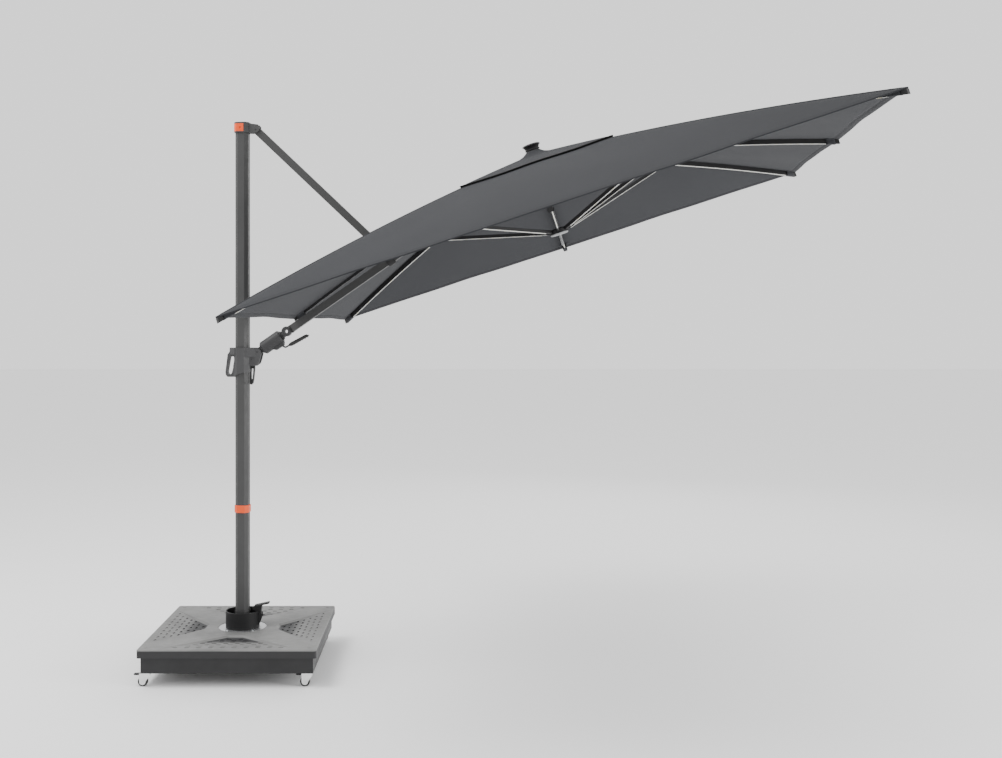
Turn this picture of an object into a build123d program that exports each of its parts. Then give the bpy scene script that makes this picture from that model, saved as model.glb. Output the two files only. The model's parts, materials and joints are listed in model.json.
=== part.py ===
"""Side-post garden umbrella: a tilting square canopy on a boom, a swivelling mast and a wheeled ballast base.

Frame: millimetres, +Z up, X and Y along the base's sides, origin on the floor under the mast's axis.
Three more frames are used, each placed from the driving dimensions:
  arm     the mast's own frame, X out along the arm, turned about the mast by ARM_YAW
  boom    origin on the boom's pivot at the carriage, X along the boom
  canopy  origin at the middle of the eaves, X uphill along the arm, Z along the canopy's pole
"""
from build123d import *
from math import atan2, cos, degrees, hypot, radians, sin, tan
import os

# ---------------------------------------------------------------- driving dimensions, mm and degrees
FIT = 0.08              # radial running clearance of a shaft in its bore
GAP = 0.5               # clearance beside pieces that slide or sit loosely
SLIVER = 1.0            # overshoot of a cutter past the face it cuts

BASE_SIDE = 910         # lid, corner to corner along one side
LID_TOP = 195           # height of the lid's top above the floor
LID_PLATE = 20
LID_SKIRT = 44
LID_WALL = 4
LID_CORNER, LID_EDGE = 14, 7        # roundings of the lid's corners and of its upper edge
FIELD_DEPTH = 14        # how far each triangular field falls towards the mast
FIELD_MARGIN = 22       # from the lid's edge to a field
FIELD_BANK = 24         # width of the sloping bank round a field
FIELD_APEX, FIELD_APEX_HALF = 58, 44        # apex of a field from the foot disc's edge, and its half width
BAND_WIDTH = 128        # raised diagonal band between two fields
DIMPLE_LENGTH, DIMPLE_WIDTH, DIMPLE_DEPTH = 27, 11, 3
DIMPLE_PITCH_ALONG, DIMPLE_PITCH_DOWN = 60, 31
DIMPLE_MARGIN = 26      # from a field's outer edge to the first row
TRAY_INSET = 18         # tray wall behind the lid's skirt
TRAY_WALL = 3
TRAY_UNDERSIDE = 70     # height of the tray's floor above the ground
RAIL_WIDTH, RAIL_HEIGHT = 40, 60
SLAB_THICKNESS = 78
SLAB_CLEARANCE = 6
PEDESTAL_RADIUS = 80
FOOT_DISC_RADIUS, FOOT_DISC_THICKNESS = 128, 8
DISC_RECESS = 2         # the disc's top below the lid's top
COLLAR_RADIUS, COLLAR_WALL, COLLAR_HEIGHT = 91, 6, 90
SPINDLE_RADIUS, SPINDLE_WALL = 27, 5
SPINDLE_IN_MAST = 150   # length of spindle above the collar's rim
BUSH_WALL = 2.5
FOOT_HUB_RADIUS = 52
FOOT_BAND_HEIGHT = 26

PEDAL_PIVOT_OUT = 90    # pivot of the foot pedal from the mast's axis
PEDAL_PIVOT_UP = 66     # and above the lid
PEDAL_WIDTH, PEDAL_LENGTH, PEDAL_TREAD = 42, 80, 6
PEDAL_TREAD_OUT = 16    # middle of the tread beyond the pivot
PEDAL_RISE = 52
PEDAL_ARM_WIDTH = 32
PEDAL_SLOPE = 12
PEDAL_PIN_RADIUS = 4
EAR_THICKNESS = 6

CASTOR_OUT = 412        # swivel axis of a castor from the middle, along X and along Y
CASTOR_TRAIL = 18
WHEEL_RADIUS, WHEEL_WIDTH = 25, 21
FORK_PLATE = 3
FORK_FRONT = 21         # fork's front edge ahead of the swivel axis
FORK_BACK = 17          # fork's back edge behind the axle
FORK_EYE = 16           # rounded lower end of a fork's cheek
AXLE_RADIUS = 4
STEM_RADIUS = 6
CASTOR_PLATE = 3
CASTOR_PLATE_SIDE = 46
BRAKE_REACH = 46        # brake's outer end from the axle
BRAKE_WIDTH, BRAKE_THICKNESS = 28, 5
BRAKE_PIN_RADIUS, BRAKE_PIN_BACK = 1.5, 9       # brake's hinge pin, and its place behind the axle

ARM_YAW = -6.8
MAST_SIDE, MAST_WALL, MAST_CHAMFER = 71, 4, 17
MAST_EDGE = 4           # rounding of the mast's edges
MAST_TOP = 2934
RING_HEIGHT, RING_WALL, RING_UP = 40, 4, 817
HEAD_WALL, HEAD_HEIGHT = 5, 56
HEAD_CHEEK = 8
INSERT_WIDTH, INSERT_HEIGHT, INSERT_DEPTH, INSERT_DOWN = 56, 42, 3, 8       # orange insert in the head
STRUT_PIVOT_OUT = 78    # strut's upper pivot from the mast's axis
STRUT_PIVOT_DOWN = 41   # below the mast's top
LINK_PIN_RADIUS = 5

BOOM_PIVOT_OUT, BOOM_PIVOT_UP = 87, 1688
BOOM_ANGLE = 34.2
CARRIAGE_SIDE, CARRIAGE_CHAMFER = 96, 28        # the housing's section round the mast
CARRIAGE_TOP = 23       # above the boom's pivot
CARRIAGE_HEIGHT = 158
CARRIAGE_LINER = 4
CHEEKS_WIDTH = 48
GRIP_WIDTH, GRIP_OUT = 28, 69       # fixed grip, and how far its root stands out from the mast's axis
KNUCKLE_WIDTH = 24
CHEEK_GAP = 1           # each side of the knuckle
KNUCKLE_RADIUS = 20
HANDLE_WIDTH = 21
HANDLE_PIN_RADIUS = 3
HANDLE_PIN_OUT, HANDLE_PIN_DOWN = 56, 40        # handle's pin from the mast's axis, and below the boom's pivot

BARREL_START, BARREL_LENGTH, BARREL_RADIUS = 27, 127, 37
SEAL_LENGTH, SEAL_RADIUS = 9, 25
SHAFT_RADIUS = 15
EYE_RADIUS, EYE_HOLE_RADIUS, EYE_THICKNESS, EYE_LENGTH = 27, 9.5, 26, 54
LEVER_PIN_RADIUS, LEVER_ROD_RADIUS = 3, 4.5
LEVER_DROP = 44         # lever's pivot below the boom's axis

BOOM_DEPTH, BOOM_WIDTH, BOOM_WALL = 40, 30, 2.5
BOOM_REACH = 1819       # from the boom's pivot to the canopy's pole
CANOPY_PITCH = 16.4     # angle between the boom and the eaves' plane
CLEVIS_ALONG = 880      # strut's lower pivot along the boom
CLEVIS_RISE = 56        # and above the boom's axis
JOURNAL_RADIUS, JOURNAL_LENGTH = 26, 44
CLEVIS_RING_WALL = 4
CLEVIS_EAR = 6
STRUT_DEPTH, STRUT_WIDTH, STRUT_WALL = 40, 25, 2
TONGUE_THICKNESS = 12
OPEN_ALONG, OPEN_ACROSS = 3, 8      # play at the opened lower pivot of the strut

CANOPY_LENGTH = 3000    # uphill, along the arm
CANOPY_WIDTH = 2600     # across the arm
CANOPY_RISE = 420       # crown above the eaves' plane
CANOPY_BOW = 0.25       # how much the ribs bow: height = rise (1 - s)(1 + bow s)
CROWN_DROP = 20         # boom's axis below the crown
FABRIC = 2
VENT_SHARE = 0.266      # vent cover's half side as a share of the canopy's
OPENING_SHARE = 0.19    # opening under the vent cover
VENT_LIFT = 9
SLOT_UPHILL, SLOT_DOWNHILL, SLOT_WIDTH = 48, 74, 66     # opening in the cover for the strut

RIB_DEPTH, RIB_WIDTH, RIB_WALL = 24, 16, 1.5
ARM_RIB_DEPTH = 14      # the rib over the boom is a flat one
RIB_FABRIC_GAP = 1
CAP_LIP = 3             # how far a cap stands out each side of its rib
HUB_RADIUS, HUB_TOP_DROP, HUB_HEIGHT = 62, 16, 58
RIB_SOCKET = 20         # how far ribs enter the crown hub
CAP_SHARE = 0.022       # outer end of each rib that is its plastic cap
CAP_END = 0.9985        # where the cap ends, as a share of the rib's reach
STRIP_DEPTH, STRIP_WIDTH = 3, 5
STRIP_START, STRIP_END = 0.5, 0.955
STRETCHER_SHARE = 0.45  # where a stretcher meets its rib
STRETCHER_DEPTH, STRETCHER_WIDTH = 17, 12
STRETCHER_RAISE = 8     # top of a stretcher above the runner's middle, at the runner
RUNNER_RADIUS, RUNNER_HEIGHT = 50, 26
RUNNER_PLATE = 6
POLE_RADIUS = 8
POLE_BELOW = 78         # pole's end below the eaves' plane
POLE_END_RADIUS, POLE_END_LENGTH = 7, 57    # turned-down end that takes a clamp
FINIAL_RADIUS, FINIAL_HEIGHT, FINIAL_NECK = 49, 50, 34

# ---------------------------------------------------------------- worked out from them
LID_UNDERSIDE = LID_TOP - LID_PLATE
TRAY_SIDE = BASE_SIDE - 2 * TRAY_INSET
TRAY_FLOOR = TRAY_UNDERSIDE + TRAY_WALL
RAIL_TOP = TRAY_FLOOR + RAIL_HEIGHT
DISC_TOP = LID_TOP - DISC_RECESS
DISC_UNDERSIDE = DISC_TOP - FOOT_DISC_THICKNESS
COLLAR_TOP = DISC_TOP + COLLAR_HEIGHT
MAST_BOTTOM = COLLAR_TOP + 2
BUSH_INNER = SPINDLE_RADIUS + FIT
BUSH_OUTER = BUSH_INNER + BUSH_WALL
SPINDLE_TOP = COLLAR_TOP + SPINDLE_IN_MAST
MAST_BORE = MAST_SIDE - 2 * MAST_WALL
MAST_BORE_CHAMFER = MAST_CHAMFER - MAST_WALL * (2 - 2 ** 0.5)

STRUT_PIVOT = Vector(STRUT_PIVOT_OUT, 0, MAST_TOP - STRUT_PIVOT_DOWN)
BOOM_PIVOT = Vector(BOOM_PIVOT_OUT, 0, BOOM_PIVOT_UP)
ARM = Rot(0, 0, ARM_YAW)
BOOM = Pos(*BOOM_PIVOT) * Rot(0, -BOOM_ANGLE, 0)
CANOPY = BOOM * Pos(BOOM_REACH, 0, 0) * Rot(0, CANOPY_PITCH, 0) * Pos(0, 0, CROWN_DROP - CANOPY_RISE)
CLEVIS_PIVOT = (BOOM * Pos(CLEVIS_ALONG, 0, CLEVIS_RISE)).position
STRUT_RUN = CLEVIS_PIVOT - STRUT_PIVOT
STRUT_LENGTH = STRUT_RUN.length
STRUT_ANGLE = degrees(atan2(-STRUT_RUN.Z, STRUT_RUN.X))
STRUT = Pos(*STRUT_PIVOT) * Rot(0, STRUT_ANGLE, 0)

BOOM_START = BARREL_START + BARREL_LENGTH + SEAL_LENGTH + EYE_LENGTH + SEAL_LENGTH
HALF_LENGTH, HALF_WIDTH = CANOPY_LENGTH / 2, CANOPY_WIDTH / 2
CORNER_REACH = hypot(HALF_LENGTH, HALF_WIDTH)
CORNER_ANGLE = degrees(atan2(HALF_WIDTH, HALF_LENGTH))
HUB_TOP = CANOPY_RISE - HUB_TOP_DROP
BOOM_SLOPE = tan(radians(CANOPY_PITCH))
CLEVIS_X = -(BOOM_REACH - CLEVIS_ALONG) * cos(radians(CANOPY_PITCH))     # clevis along the canopy's X
EAVE_SLOPE = CANOPY_RISE * (1 + CANOPY_BOW)     # steepest fall of the cover, per share
CORNER_FALL = EAVE_SLOPE * max(cos(radians(CORNER_ANGLE)) / HALF_WIDTH, sin(radians(CORNER_ANGLE)) / HALF_LENGTH)

parts = {}


# ---------------------------------------------------------------- helpers
def bar(x0, x1, y0, y1, z0, z1):
    """A box from its lowest to its highest corner."""
    return Pos((x0 + x1) / 2, (y0 + y1) / 2, (z0 + z1) / 2) * Box(x1 - x0, y1 - y0, z1 - z0)


def rod(radius, z0, z1, x=0, y=0):
    """An upright cylinder between two heights."""
    return Pos(x, y, (z0 + z1) / 2) * Cylinder(radius, z1 - z0)


def cross_pin(radius, x, z, width):
    """A cylinder along Y, centred on Y = 0."""
    return Pos(x, 0, z) * Rot(90, 0, 0) * Cylinder(radius, width)


def along_x(radius, x0, x1, z=0):
    """A cylinder along X between two stations."""
    return Pos((x0 + x1) / 2, 0, z) * Rot(0, 90, 0) * Cylinder(radius, x1 - x0)


def side_plate(points, width, y=0.0):
    """A plate with a polygon outline in the XZ plane, width thick about Y = y."""
    outline = Plane.XZ * make_face(Polyline(*points, close=True))
    return Pos(0, y, 0) * extrude(outline, width / 2, both=True)


def bevelled_square(side, cut):
    """The mast's section: a square with its corners cut and every edge rounded."""
    cut_square = chamfer(Rectangle(side, side).vertices(), cut)
    return fillet(cut_square.vertices(), MAST_EDGE)


def mast_prism(side, cut, z0, z1):
    """A prism of the mast's section between two heights."""
    return Pos(0, 0, z0) * extrude(bevelled_square(side, cut), z1 - z0)


def box_tube(x0, x1, depth, width, wall):
    """A rectangular tube along X."""
    outside = bar(x0, x1, -width / 2, width / 2, -depth / 2, depth / 2)
    bore = bar(x0 - SLIVER, x1 + SLIVER, -width / 2 + wall, width / 2 - wall, -depth / 2 + wall, depth / 2 - wall)
    return outside - bore


def rise_at(share):
    """Height of the cover above the eaves' plane, share of the way from crown to eaves."""
    return CANOPY_RISE * (1 - share) * (1 + CANOPY_BOW * share)


def bowed_strip(inner, outer, reach, drop, depth, width):
    """A strip along X that follows the cover's curve, drop below it, between two stations."""
    def station(x, down):
        return (x, rise_at(x / reach) - down)
    middle = (inner + outer) / 2
    top = [station(x, drop) for x in (inner, middle, outer)]
    under = [station(x, drop + depth) for x in (outer, middle, inner)]
    edges = ThreePointArc(*top) + Line(top[2], under[0]) + ThreePointArc(*under) + Line(under[2], top[0])
    return extrude(Plane.XZ * make_face(edges), width / 2, both=True)


def bowed_tube(inner, outer, reach, drop, depth, width):
    """The same strip as a rectangular tube, open at both ends."""
    core = bowed_strip(inner - SLIVER, outer + SLIVER, reach, drop + RIB_WALL, depth - 2 * RIB_WALL,
                       width - 2 * RIB_WALL)
    return bowed_strip(inner, outer, reach, drop, depth, width) - core


def spoke_drop(name, width):
    """How far under the cover's top a rib of this width lies: a corner rib sits under a ridge."""
    corner_ease = CORNER_FALL * width / 2 if "_" in name else 0
    return FABRIC + RIB_FABRIC_GAP + corner_ease


def spoke_angles():
    """(name, angle, reach) of the eight ribs, counter-clockwise from uphill."""
    return [
        ("uphill", 0, HALF_LENGTH), ("left_top", CORNER_ANGLE, CORNER_REACH),
        ("left", 90, HALF_WIDTH), ("left_low", 180 - CORNER_ANGLE, CORNER_REACH),
        ("arm", 180, HALF_LENGTH), ("right_low", 180 + CORNER_ANGLE, CORNER_REACH),
        ("right", 270, HALF_WIDTH), ("right_top", 360 - CORNER_ANGLE, CORNER_REACH),
    ]


# ---------------------------------------------------------------- base
def field_cutter():
    """The +X field of the lid: a banked triangular pocket whose floor falls towards the mast."""
    outer = BASE_SIDE / 2 - FIELD_MARGIN
    apex = FOOT_DISC_RADIUS + FIELD_APEX
    half_base = outer - BAND_WIDTH / 2 ** 0.5
    floor_wedge = side_plate([(apex, LID_TOP - FIELD_DEPTH), (outer, LID_TOP), (outer, LID_TOP + SLIVER),
                              (apex, LID_TOP + SLIVER)], 2 * half_base)
    rim = make_face(Polyline((apex, -FIELD_APEX_HALF), (outer, -half_base), (outer, half_base),
                             (apex, FIELD_APEX_HALF), close=True))
    foot = offset(rim, -FIELD_BANK, kind=Kind.INTERSECTION)
    bank = loft([Pos(0, 0, LID_TOP) * rim, Pos(0, 0, LID_TOP - FIELD_DEPTH) * foot])
    bank += extrude(Pos(0, 0, LID_TOP) * rim, SLIVER)
    return floor_wedge & bank


def dimple_cutters():
    """Rows of oval dimples in the +X field, each sunk from the sloping floor."""
    outer = BASE_SIDE / 2 - FIELD_MARGIN
    apex = FOOT_DISC_RADIUS + FIELD_APEX
    half_base = outer - BAND_WIDTH / 2 ** 0.5
    slope = FIELD_DEPTH / (outer - apex)
    narrowing = (half_base - FIELD_APEX_HALF) / (outer - apex)
    rows = int((outer - apex - DIMPLE_MARGIN - FIELD_BANK) // DIMPLE_PITCH_DOWN)
    cutters = []
    for row in range(rows + 1):
        x = outer - DIMPLE_MARGIN - row * DIMPLE_PITCH_DOWN
        room = half_base - narrowing * (outer - x) - FIELD_BANK - DIMPLE_LENGTH / 2
        floor = LID_TOP - slope * (outer - x)
        count = int(2 * room // DIMPLE_PITCH_ALONG) if room > 0 else -1
        for i in range(count + 1):
            y = (i - count / 2) * DIMPLE_PITCH_ALONG
            oval = Rot(0, 0, 90) * SlotOverall(DIMPLE_LENGTH, DIMPLE_WIDTH)
            cutters.append(Pos(x, y, floor - DIMPLE_DEPTH) * extrude(oval, FIELD_DEPTH + DIMPLE_DEPTH))
    return cutters


def build_lid():
    """The moulded cover with four dimpled fields between raised diagonal bands."""
    half = BASE_SIDE / 2
    lid = bar(-half, half, -half, half, LID_TOP - LID_SKIRT, LID_TOP)
    lid = fillet(lid.edges().filter_by(Axis.Z), LID_CORNER)
    lid = fillet(lid.edges().group_by(Axis.Z)[-1], LID_EDGE)
    inside = half - LID_WALL
    lid -= bar(-inside, inside, -inside, inside, LID_TOP - LID_SKIRT - SLIVER, LID_UNDERSIDE)
    lid -= rod(FOOT_DISC_RADIUS + GAP, LID_UNDERSIDE - SLIVER, LID_TOP + SLIVER)
    cutters = [field_cutter(), *dimple_cutters()]
    return lid - [Rot(0, 0, turn) * c for turn in (0, 90, 180, 270) for c in cutters]


def build_base():
    """Tray, frame, slabs, lid, pedestal, collar and spindle: what stands still."""
    half = TRAY_SIDE / 2
    inside = half - TRAY_WALL
    tray = bar(-half, half, -half, half, TRAY_UNDERSIDE, LID_UNDERSIDE)
    parts["base_tray"] = tray - bar(-inside, inside, -inside, inside, TRAY_FLOOR, LID_UNDERSIDE + SLIVER)
    parts["base_lid"] = build_lid()

    rail = RAIL_WIDTH / 2
    rails = bar(-inside + GAP, inside - GAP, -rail, rail, TRAY_FLOOR, RAIL_TOP)
    parts["cross_frame"] = rails + bar(-rail, rail, -inside + GAP, inside - GAP, TRAY_FLOOR, RAIL_TOP)
    near, far = rail + SLAB_CLEARANCE, inside - SLAB_CLEARANCE
    slab = bar(near, far, near, far, TRAY_FLOOR, TRAY_FLOOR + SLAB_THICKNESS)
    slab -= rod(PEDESTAL_RADIUS + SLAB_CLEARANCE, TRAY_FLOOR - SLIVER, LID_UNDERSIDE)
    parts["ballast_slabs"] = Compound([Rot(0, 0, turn) * slab for turn in (0, 90, 180, 270)])

    bore = SPINDLE_RADIUS
    pedestal = rod(PEDESTAL_RADIUS, RAIL_TOP, DISC_UNDERSIDE) - rod(bore, RAIL_TOP - SLIVER, LID_TOP)
    parts["pedestal"] = pedestal
    disc = rod(FOOT_DISC_RADIUS, DISC_UNDERSIDE, DISC_TOP) - rod(bore, DISC_UNDERSIDE - SLIVER, LID_TOP)
    parts["foot_disc"] = chamfer(disc.edges().group_by(Axis.Z)[-1], 1)
    spindle = rod(SPINDLE_RADIUS, RAIL_TOP, SPINDLE_TOP)
    parts["swivel_spindle"] = spindle - rod(SPINDLE_RADIUS - SPINDLE_WALL, RAIL_TOP + 8, SPINDLE_TOP + SLIVER)
    build_collar()


def build_collar():
    """The black cup round the swivel, with two ears for the foot pedal's pin."""
    inner = COLLAR_RADIUS - COLLAR_WALL
    cup = rod(COLLAR_RADIUS, DISC_TOP, COLLAR_TOP)
    cup -= rod(inner, DISC_TOP + COLLAR_WALL, COLLAR_TOP + SLIVER)
    cup -= rod(FOOT_HUB_RADIUS, DISC_TOP - SLIVER, COLLAR_TOP)
    pivot_z = LID_TOP + PEDAL_PIVOT_UP
    ear_in, ear_out = PEDAL_PIVOT_OUT - 4 * PEDAL_PIN_RADIUS, PEDAL_PIVOT_OUT + 4 * PEDAL_PIN_RADIUS
    ear_y = PEDAL_ARM_WIDTH / 2 + GAP
    for side in (-1, 1):
        ear = side_plate([(ear_in, DISC_TOP + COLLAR_WALL / 2), (inner + 1, DISC_TOP + COLLAR_WALL / 2),
                          (ear_out, pivot_z - 12), (ear_out, pivot_z + 8), (ear_out - 6, pivot_z + 12),
                          (ear_in, pivot_z + 12)], EAR_THICKNESS, side * (ear_y + EAR_THICKNESS / 2))
        cup += ear
    cup -= bar(inner - 4 * GAP, ear_out + 20, -ear_y, ear_y, pivot_z - 16, COLLAR_TOP + SLIVER)
    cup += cross_pin(PEDAL_PIN_RADIUS, PEDAL_PIVOT_OUT, pivot_z, 2 * (ear_y + EAR_THICKNESS) + 2)
    parts["swivel_collar"] = cup

    x, z = PEDAL_PIVOT_OUT, pivot_z
    boss = 3 * PEDAL_PIN_RADIUS - GAP
    arm = cross_pin(boss, x, z, PEDAL_ARM_WIDTH)
    arm += side_plate([(x - boss, z), (x + boss, z), (x + boss, z + PEDAL_RISE / 2), (x + 18, z + PEDAL_RISE + 6),
                       (x - 36, z + PEDAL_RISE - 6), (x - 34, z + PEDAL_RISE / 2 + 2), (x - boss, z + 18)],
                      PEDAL_ARM_WIDTH)
    tread_place = Pos(x + PEDAL_TREAD_OUT, 0, z + PEDAL_RISE + PEDAL_TREAD / 2) * Rot(0, -PEDAL_SLOPE, 0)
    tread = tread_place * Box(PEDAL_LENGTH, PEDAL_WIDTH, PEDAL_TREAD)
    above_tread = tread_place * Pos(0, 0, PEDAL_TREAD * 2) * Box(2 * PEDAL_LENGTH, 2 * PEDAL_WIDTH, 5 * PEDAL_TREAD)
    arm -= above_tread
    arm -= cross_pin(PEDAL_PIN_RADIUS + FIT, x, z, 2 * PEDAL_ARM_WIDTH)
    parts["foot_pedal"] = arm
    parts["pedal_tread"] = chamfer(tread.edges().group_by(Axis.Z)[-1], 1.5)


def build_castors():
    """Four hooded swivel castors with foot brakes, all trailing the same way."""
    plate_top = TRAY_UNDERSIDE
    plate_under = plate_top - CASTOR_PLATE
    fork_top = plate_under - GAP
    plates = []
    for name, sx, sy in (("front_left", -1, -1), ("front_right", 1, -1), ("rear_left", -1, 1), ("rear_right", 1, 1)):
        place = Pos(sx * CASTOR_OUT, sy * CASTOR_OUT, 0)
        side = CASTOR_PLATE_SIDE / 2
        plate = bar(-side, side, -side, side, plate_under, plate_top)
        stem = rod(STEM_RADIUS, fork_top - 2 * CASTOR_PLATE, plate_under)
        plates.append(place * (plate + stem))
        wheel_x = -CASTOR_TRAIL
        inside = WHEEL_WIDTH / 2 + 1.5
        outside = inside + FORK_PLATE
        cheek = [(FORK_FRONT, fork_top), (FORK_FRONT - 2, fork_top - 9), (wheel_x + FORK_EYE, WHEEL_RADIUS),
                 (wheel_x - FORK_EYE, WHEEL_RADIUS), (wheel_x - FORK_BACK, fork_top - 14),
                 (wheel_x - FORK_BACK, fork_top)]
        fork = side_plate(cheek, 2 * outside) + cross_pin(FORK_EYE, wheel_x, WHEEL_RADIUS, 2 * outside)
        hollow = cross_pin(WHEEL_RADIUS + 2, wheel_x, WHEEL_RADIUS, 2 * inside)
        hollow += bar(wheel_x - 3 * WHEEL_RADIUS, 4 * WHEEL_RADIUS, -inside, inside, 0, WHEEL_RADIUS + 12)
        fork -= hollow
        fork -= bar(wheel_x - BRAKE_REACH, wheel_x - BRAKE_PIN_BACK / 2, -inside, inside,
                    fork_top - 2 * CASTOR_PLATE - BRAKE_THICKNESS, plate_top)
        fork -= rod(STEM_RADIUS + FIT, fork_top - 2 * CASTOR_PLATE - GAP, plate_top)
        fork += cross_pin(AXLE_RADIUS, wheel_x, WHEEL_RADIUS, 2 * outside + 2)
        brake_z = fork_top - CASTOR_PLATE - BRAKE_THICKNESS / 2
        pin_x = wheel_x - BRAKE_PIN_BACK
        fork += cross_pin(BRAKE_PIN_RADIUS, pin_x, brake_z, 2 * outside)
        wheel = cross_pin(WHEEL_RADIUS, wheel_x, WHEEL_RADIUS, WHEEL_WIDTH)
        wheel = fillet(wheel.edges(), 2.5)
        wheel -= cross_pin(AXLE_RADIUS + FIT, wheel_x, WHEEL_RADIUS, 2 * WHEEL_WIDTH)
        tab_end = wheel_x - FORK_BACK - 3 * GAP
        tongue = inside - 2 * GAP
        low, high = brake_z - BRAKE_THICKNESS / 2, brake_z + BRAKE_THICKNESS / 2
        tab = bar(wheel_x - BRAKE_REACH, tab_end, -BRAKE_WIDTH / 2, BRAKE_WIDTH / 2, low, high)
        tab = chamfer(tab.edges().filter_by(Axis.Z).group_by(Axis.X)[0], 6)
        brake = tab + bar(tab_end, pin_x, -tongue, tongue, low, high)
        brake += cross_pin(BRAKE_THICKNESS / 2, pin_x, brake_z, 2 * tongue)
        brake -= cross_pin(BRAKE_PIN_RADIUS + FIT, pin_x, brake_z, 4 * tongue)
        parts["castor_fork_" + name] = place * fork
        parts["castor_wheel_" + name] = place * wheel
        parts["castor_brake_" + name] = place * brake
    parts["castor_plates"] = Compound(plates)


# ---------------------------------------------------------------- mast, in the arm frame
def build_mast():
    """Mast foot, tube, ring and head."""
    hub_bottom = DISC_TOP + GAP
    foot = rod(FOOT_HUB_RADIUS - GAP, hub_bottom, COLLAR_TOP - FOOT_BAND_HEIGHT)
    band = mast_prism(MAST_SIDE + 4, MAST_CHAMFER, COLLAR_TOP - FOOT_BAND_HEIGHT, MAST_BOTTOM)
    plug_side = MAST_BORE - 2 * GAP
    plug = mast_prism(plug_side, MAST_BORE_CHAMFER, MAST_BOTTOM, SPINDLE_TOP + 10)
    foot += band + plug
    foot -= rod(BUSH_OUTER, hub_bottom - SLIVER, SPINDLE_TOP + 20)
    parts["mast_foot"] = foot
    bush = rod(BUSH_OUTER, hub_bottom, SPINDLE_TOP - GAP)
    parts["swivel_bush"] = bush - rod(BUSH_INNER, hub_bottom - SLIVER, SPINDLE_TOP)

    tube_top = MAST_TOP - HEAD_WALL
    tube = mast_prism(MAST_SIDE, MAST_CHAMFER, MAST_BOTTOM, tube_top)
    tube -= mast_prism(MAST_BORE, MAST_BORE_CHAMFER, MAST_BOTTOM - SLIVER, tube_top + SLIVER)
    hole_z = BOOM_PIVOT_UP - 167
    tube -= Pos(24, -MAST_SIDE / 2, hole_z) * Rot(90, 0, 0) * Cylinder(4, 3 * MAST_WALL)
    parts["mast_tube"] = tube

    ring_top = RING_UP + RING_HEIGHT
    ring = mast_prism(MAST_SIDE + 2 * RING_WALL, MAST_CHAMFER + 1, RING_UP, ring_top)
    ring = chamfer(ring.edges().group_by(Axis.Z)[0], 1)
    ring = chamfer(ring.edges().group_by(Axis.Z)[-1], 1)
    parts["mast_ring"] = ring - mast_prism(MAST_SIDE, MAST_CHAMFER, RING_UP - SLIVER, ring_top + SLIVER)
    build_head(tube_top)


def build_head(tube_top):
    """The cap over the mast with two cheeks that hold the strut's upper pin."""
    cap_side = MAST_SIDE + 2 * HEAD_WALL
    bottom = MAST_TOP - HEAD_HEIGHT
    pivot_z = STRUT_PIVOT.Z
    half_gap = STRUT_WIDTH / 2 + 1
    cheek_outline = [
        (0, bottom), (STRUT_PIVOT_OUT + 6, bottom - 2), (STRUT_PIVOT_OUT + 20, pivot_z - 6),
        (STRUT_PIVOT_OUT + 20, pivot_z + 18), (STRUT_PIVOT_OUT + 12, pivot_z + 28), (0, MAST_TOP)]
    head = mast_prism(cap_side, MAST_CHAMFER, bottom, MAST_TOP)
    head += side_plate(cheek_outline, 2 * (half_gap + HEAD_CHEEK))
    web = MAST_SIDE / 2 + HEAD_WALL + 5
    head -= bar(web, STRUT_PIVOT_OUT + 60, -half_gap, half_gap, bottom - 40, MAST_TOP + SLIVER)
    head -= mast_prism(MAST_SIDE, MAST_CHAMFER, bottom - 5, tube_top)
    head -= cross_pin(LINK_PIN_RADIUS, STRUT_PIVOT_OUT, pivot_z, 4 * STRUT_WIDTH)
    left, face = -cap_side / 2, -cap_side / 2
    insert_z = MAST_TOP - INSERT_DOWN - INSERT_HEIGHT
    insert = bar(left - SLIVER, left + INSERT_WIDTH, face - SLIVER, 0, insert_z, insert_z + INSERT_HEIGHT)
    insert &= mast_prism(cap_side + 1.2, MAST_CHAMFER, bottom, MAST_TOP)
    insert -= mast_prism(cap_side - 2 * INSERT_DEPTH, MAST_CHAMFER, bottom, MAST_TOP)
    head -= insert
    hole = Pos(left + INSERT_WIDTH * 0.68, face, insert_z + INSERT_HEIGHT * 0.45) * Rot(90, 0, 0)
    hole *= Cylinder(6.5, 2 * INSERT_DEPTH - 1)
    parts["head_insert"] = insert - hole
    parts["mast_head"] = head
    parts["strut_top_pin"] = cross_pin(LINK_PIN_RADIUS, STRUT_PIVOT_OUT, pivot_z, 2 * (half_gap + HEAD_CHEEK))


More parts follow.
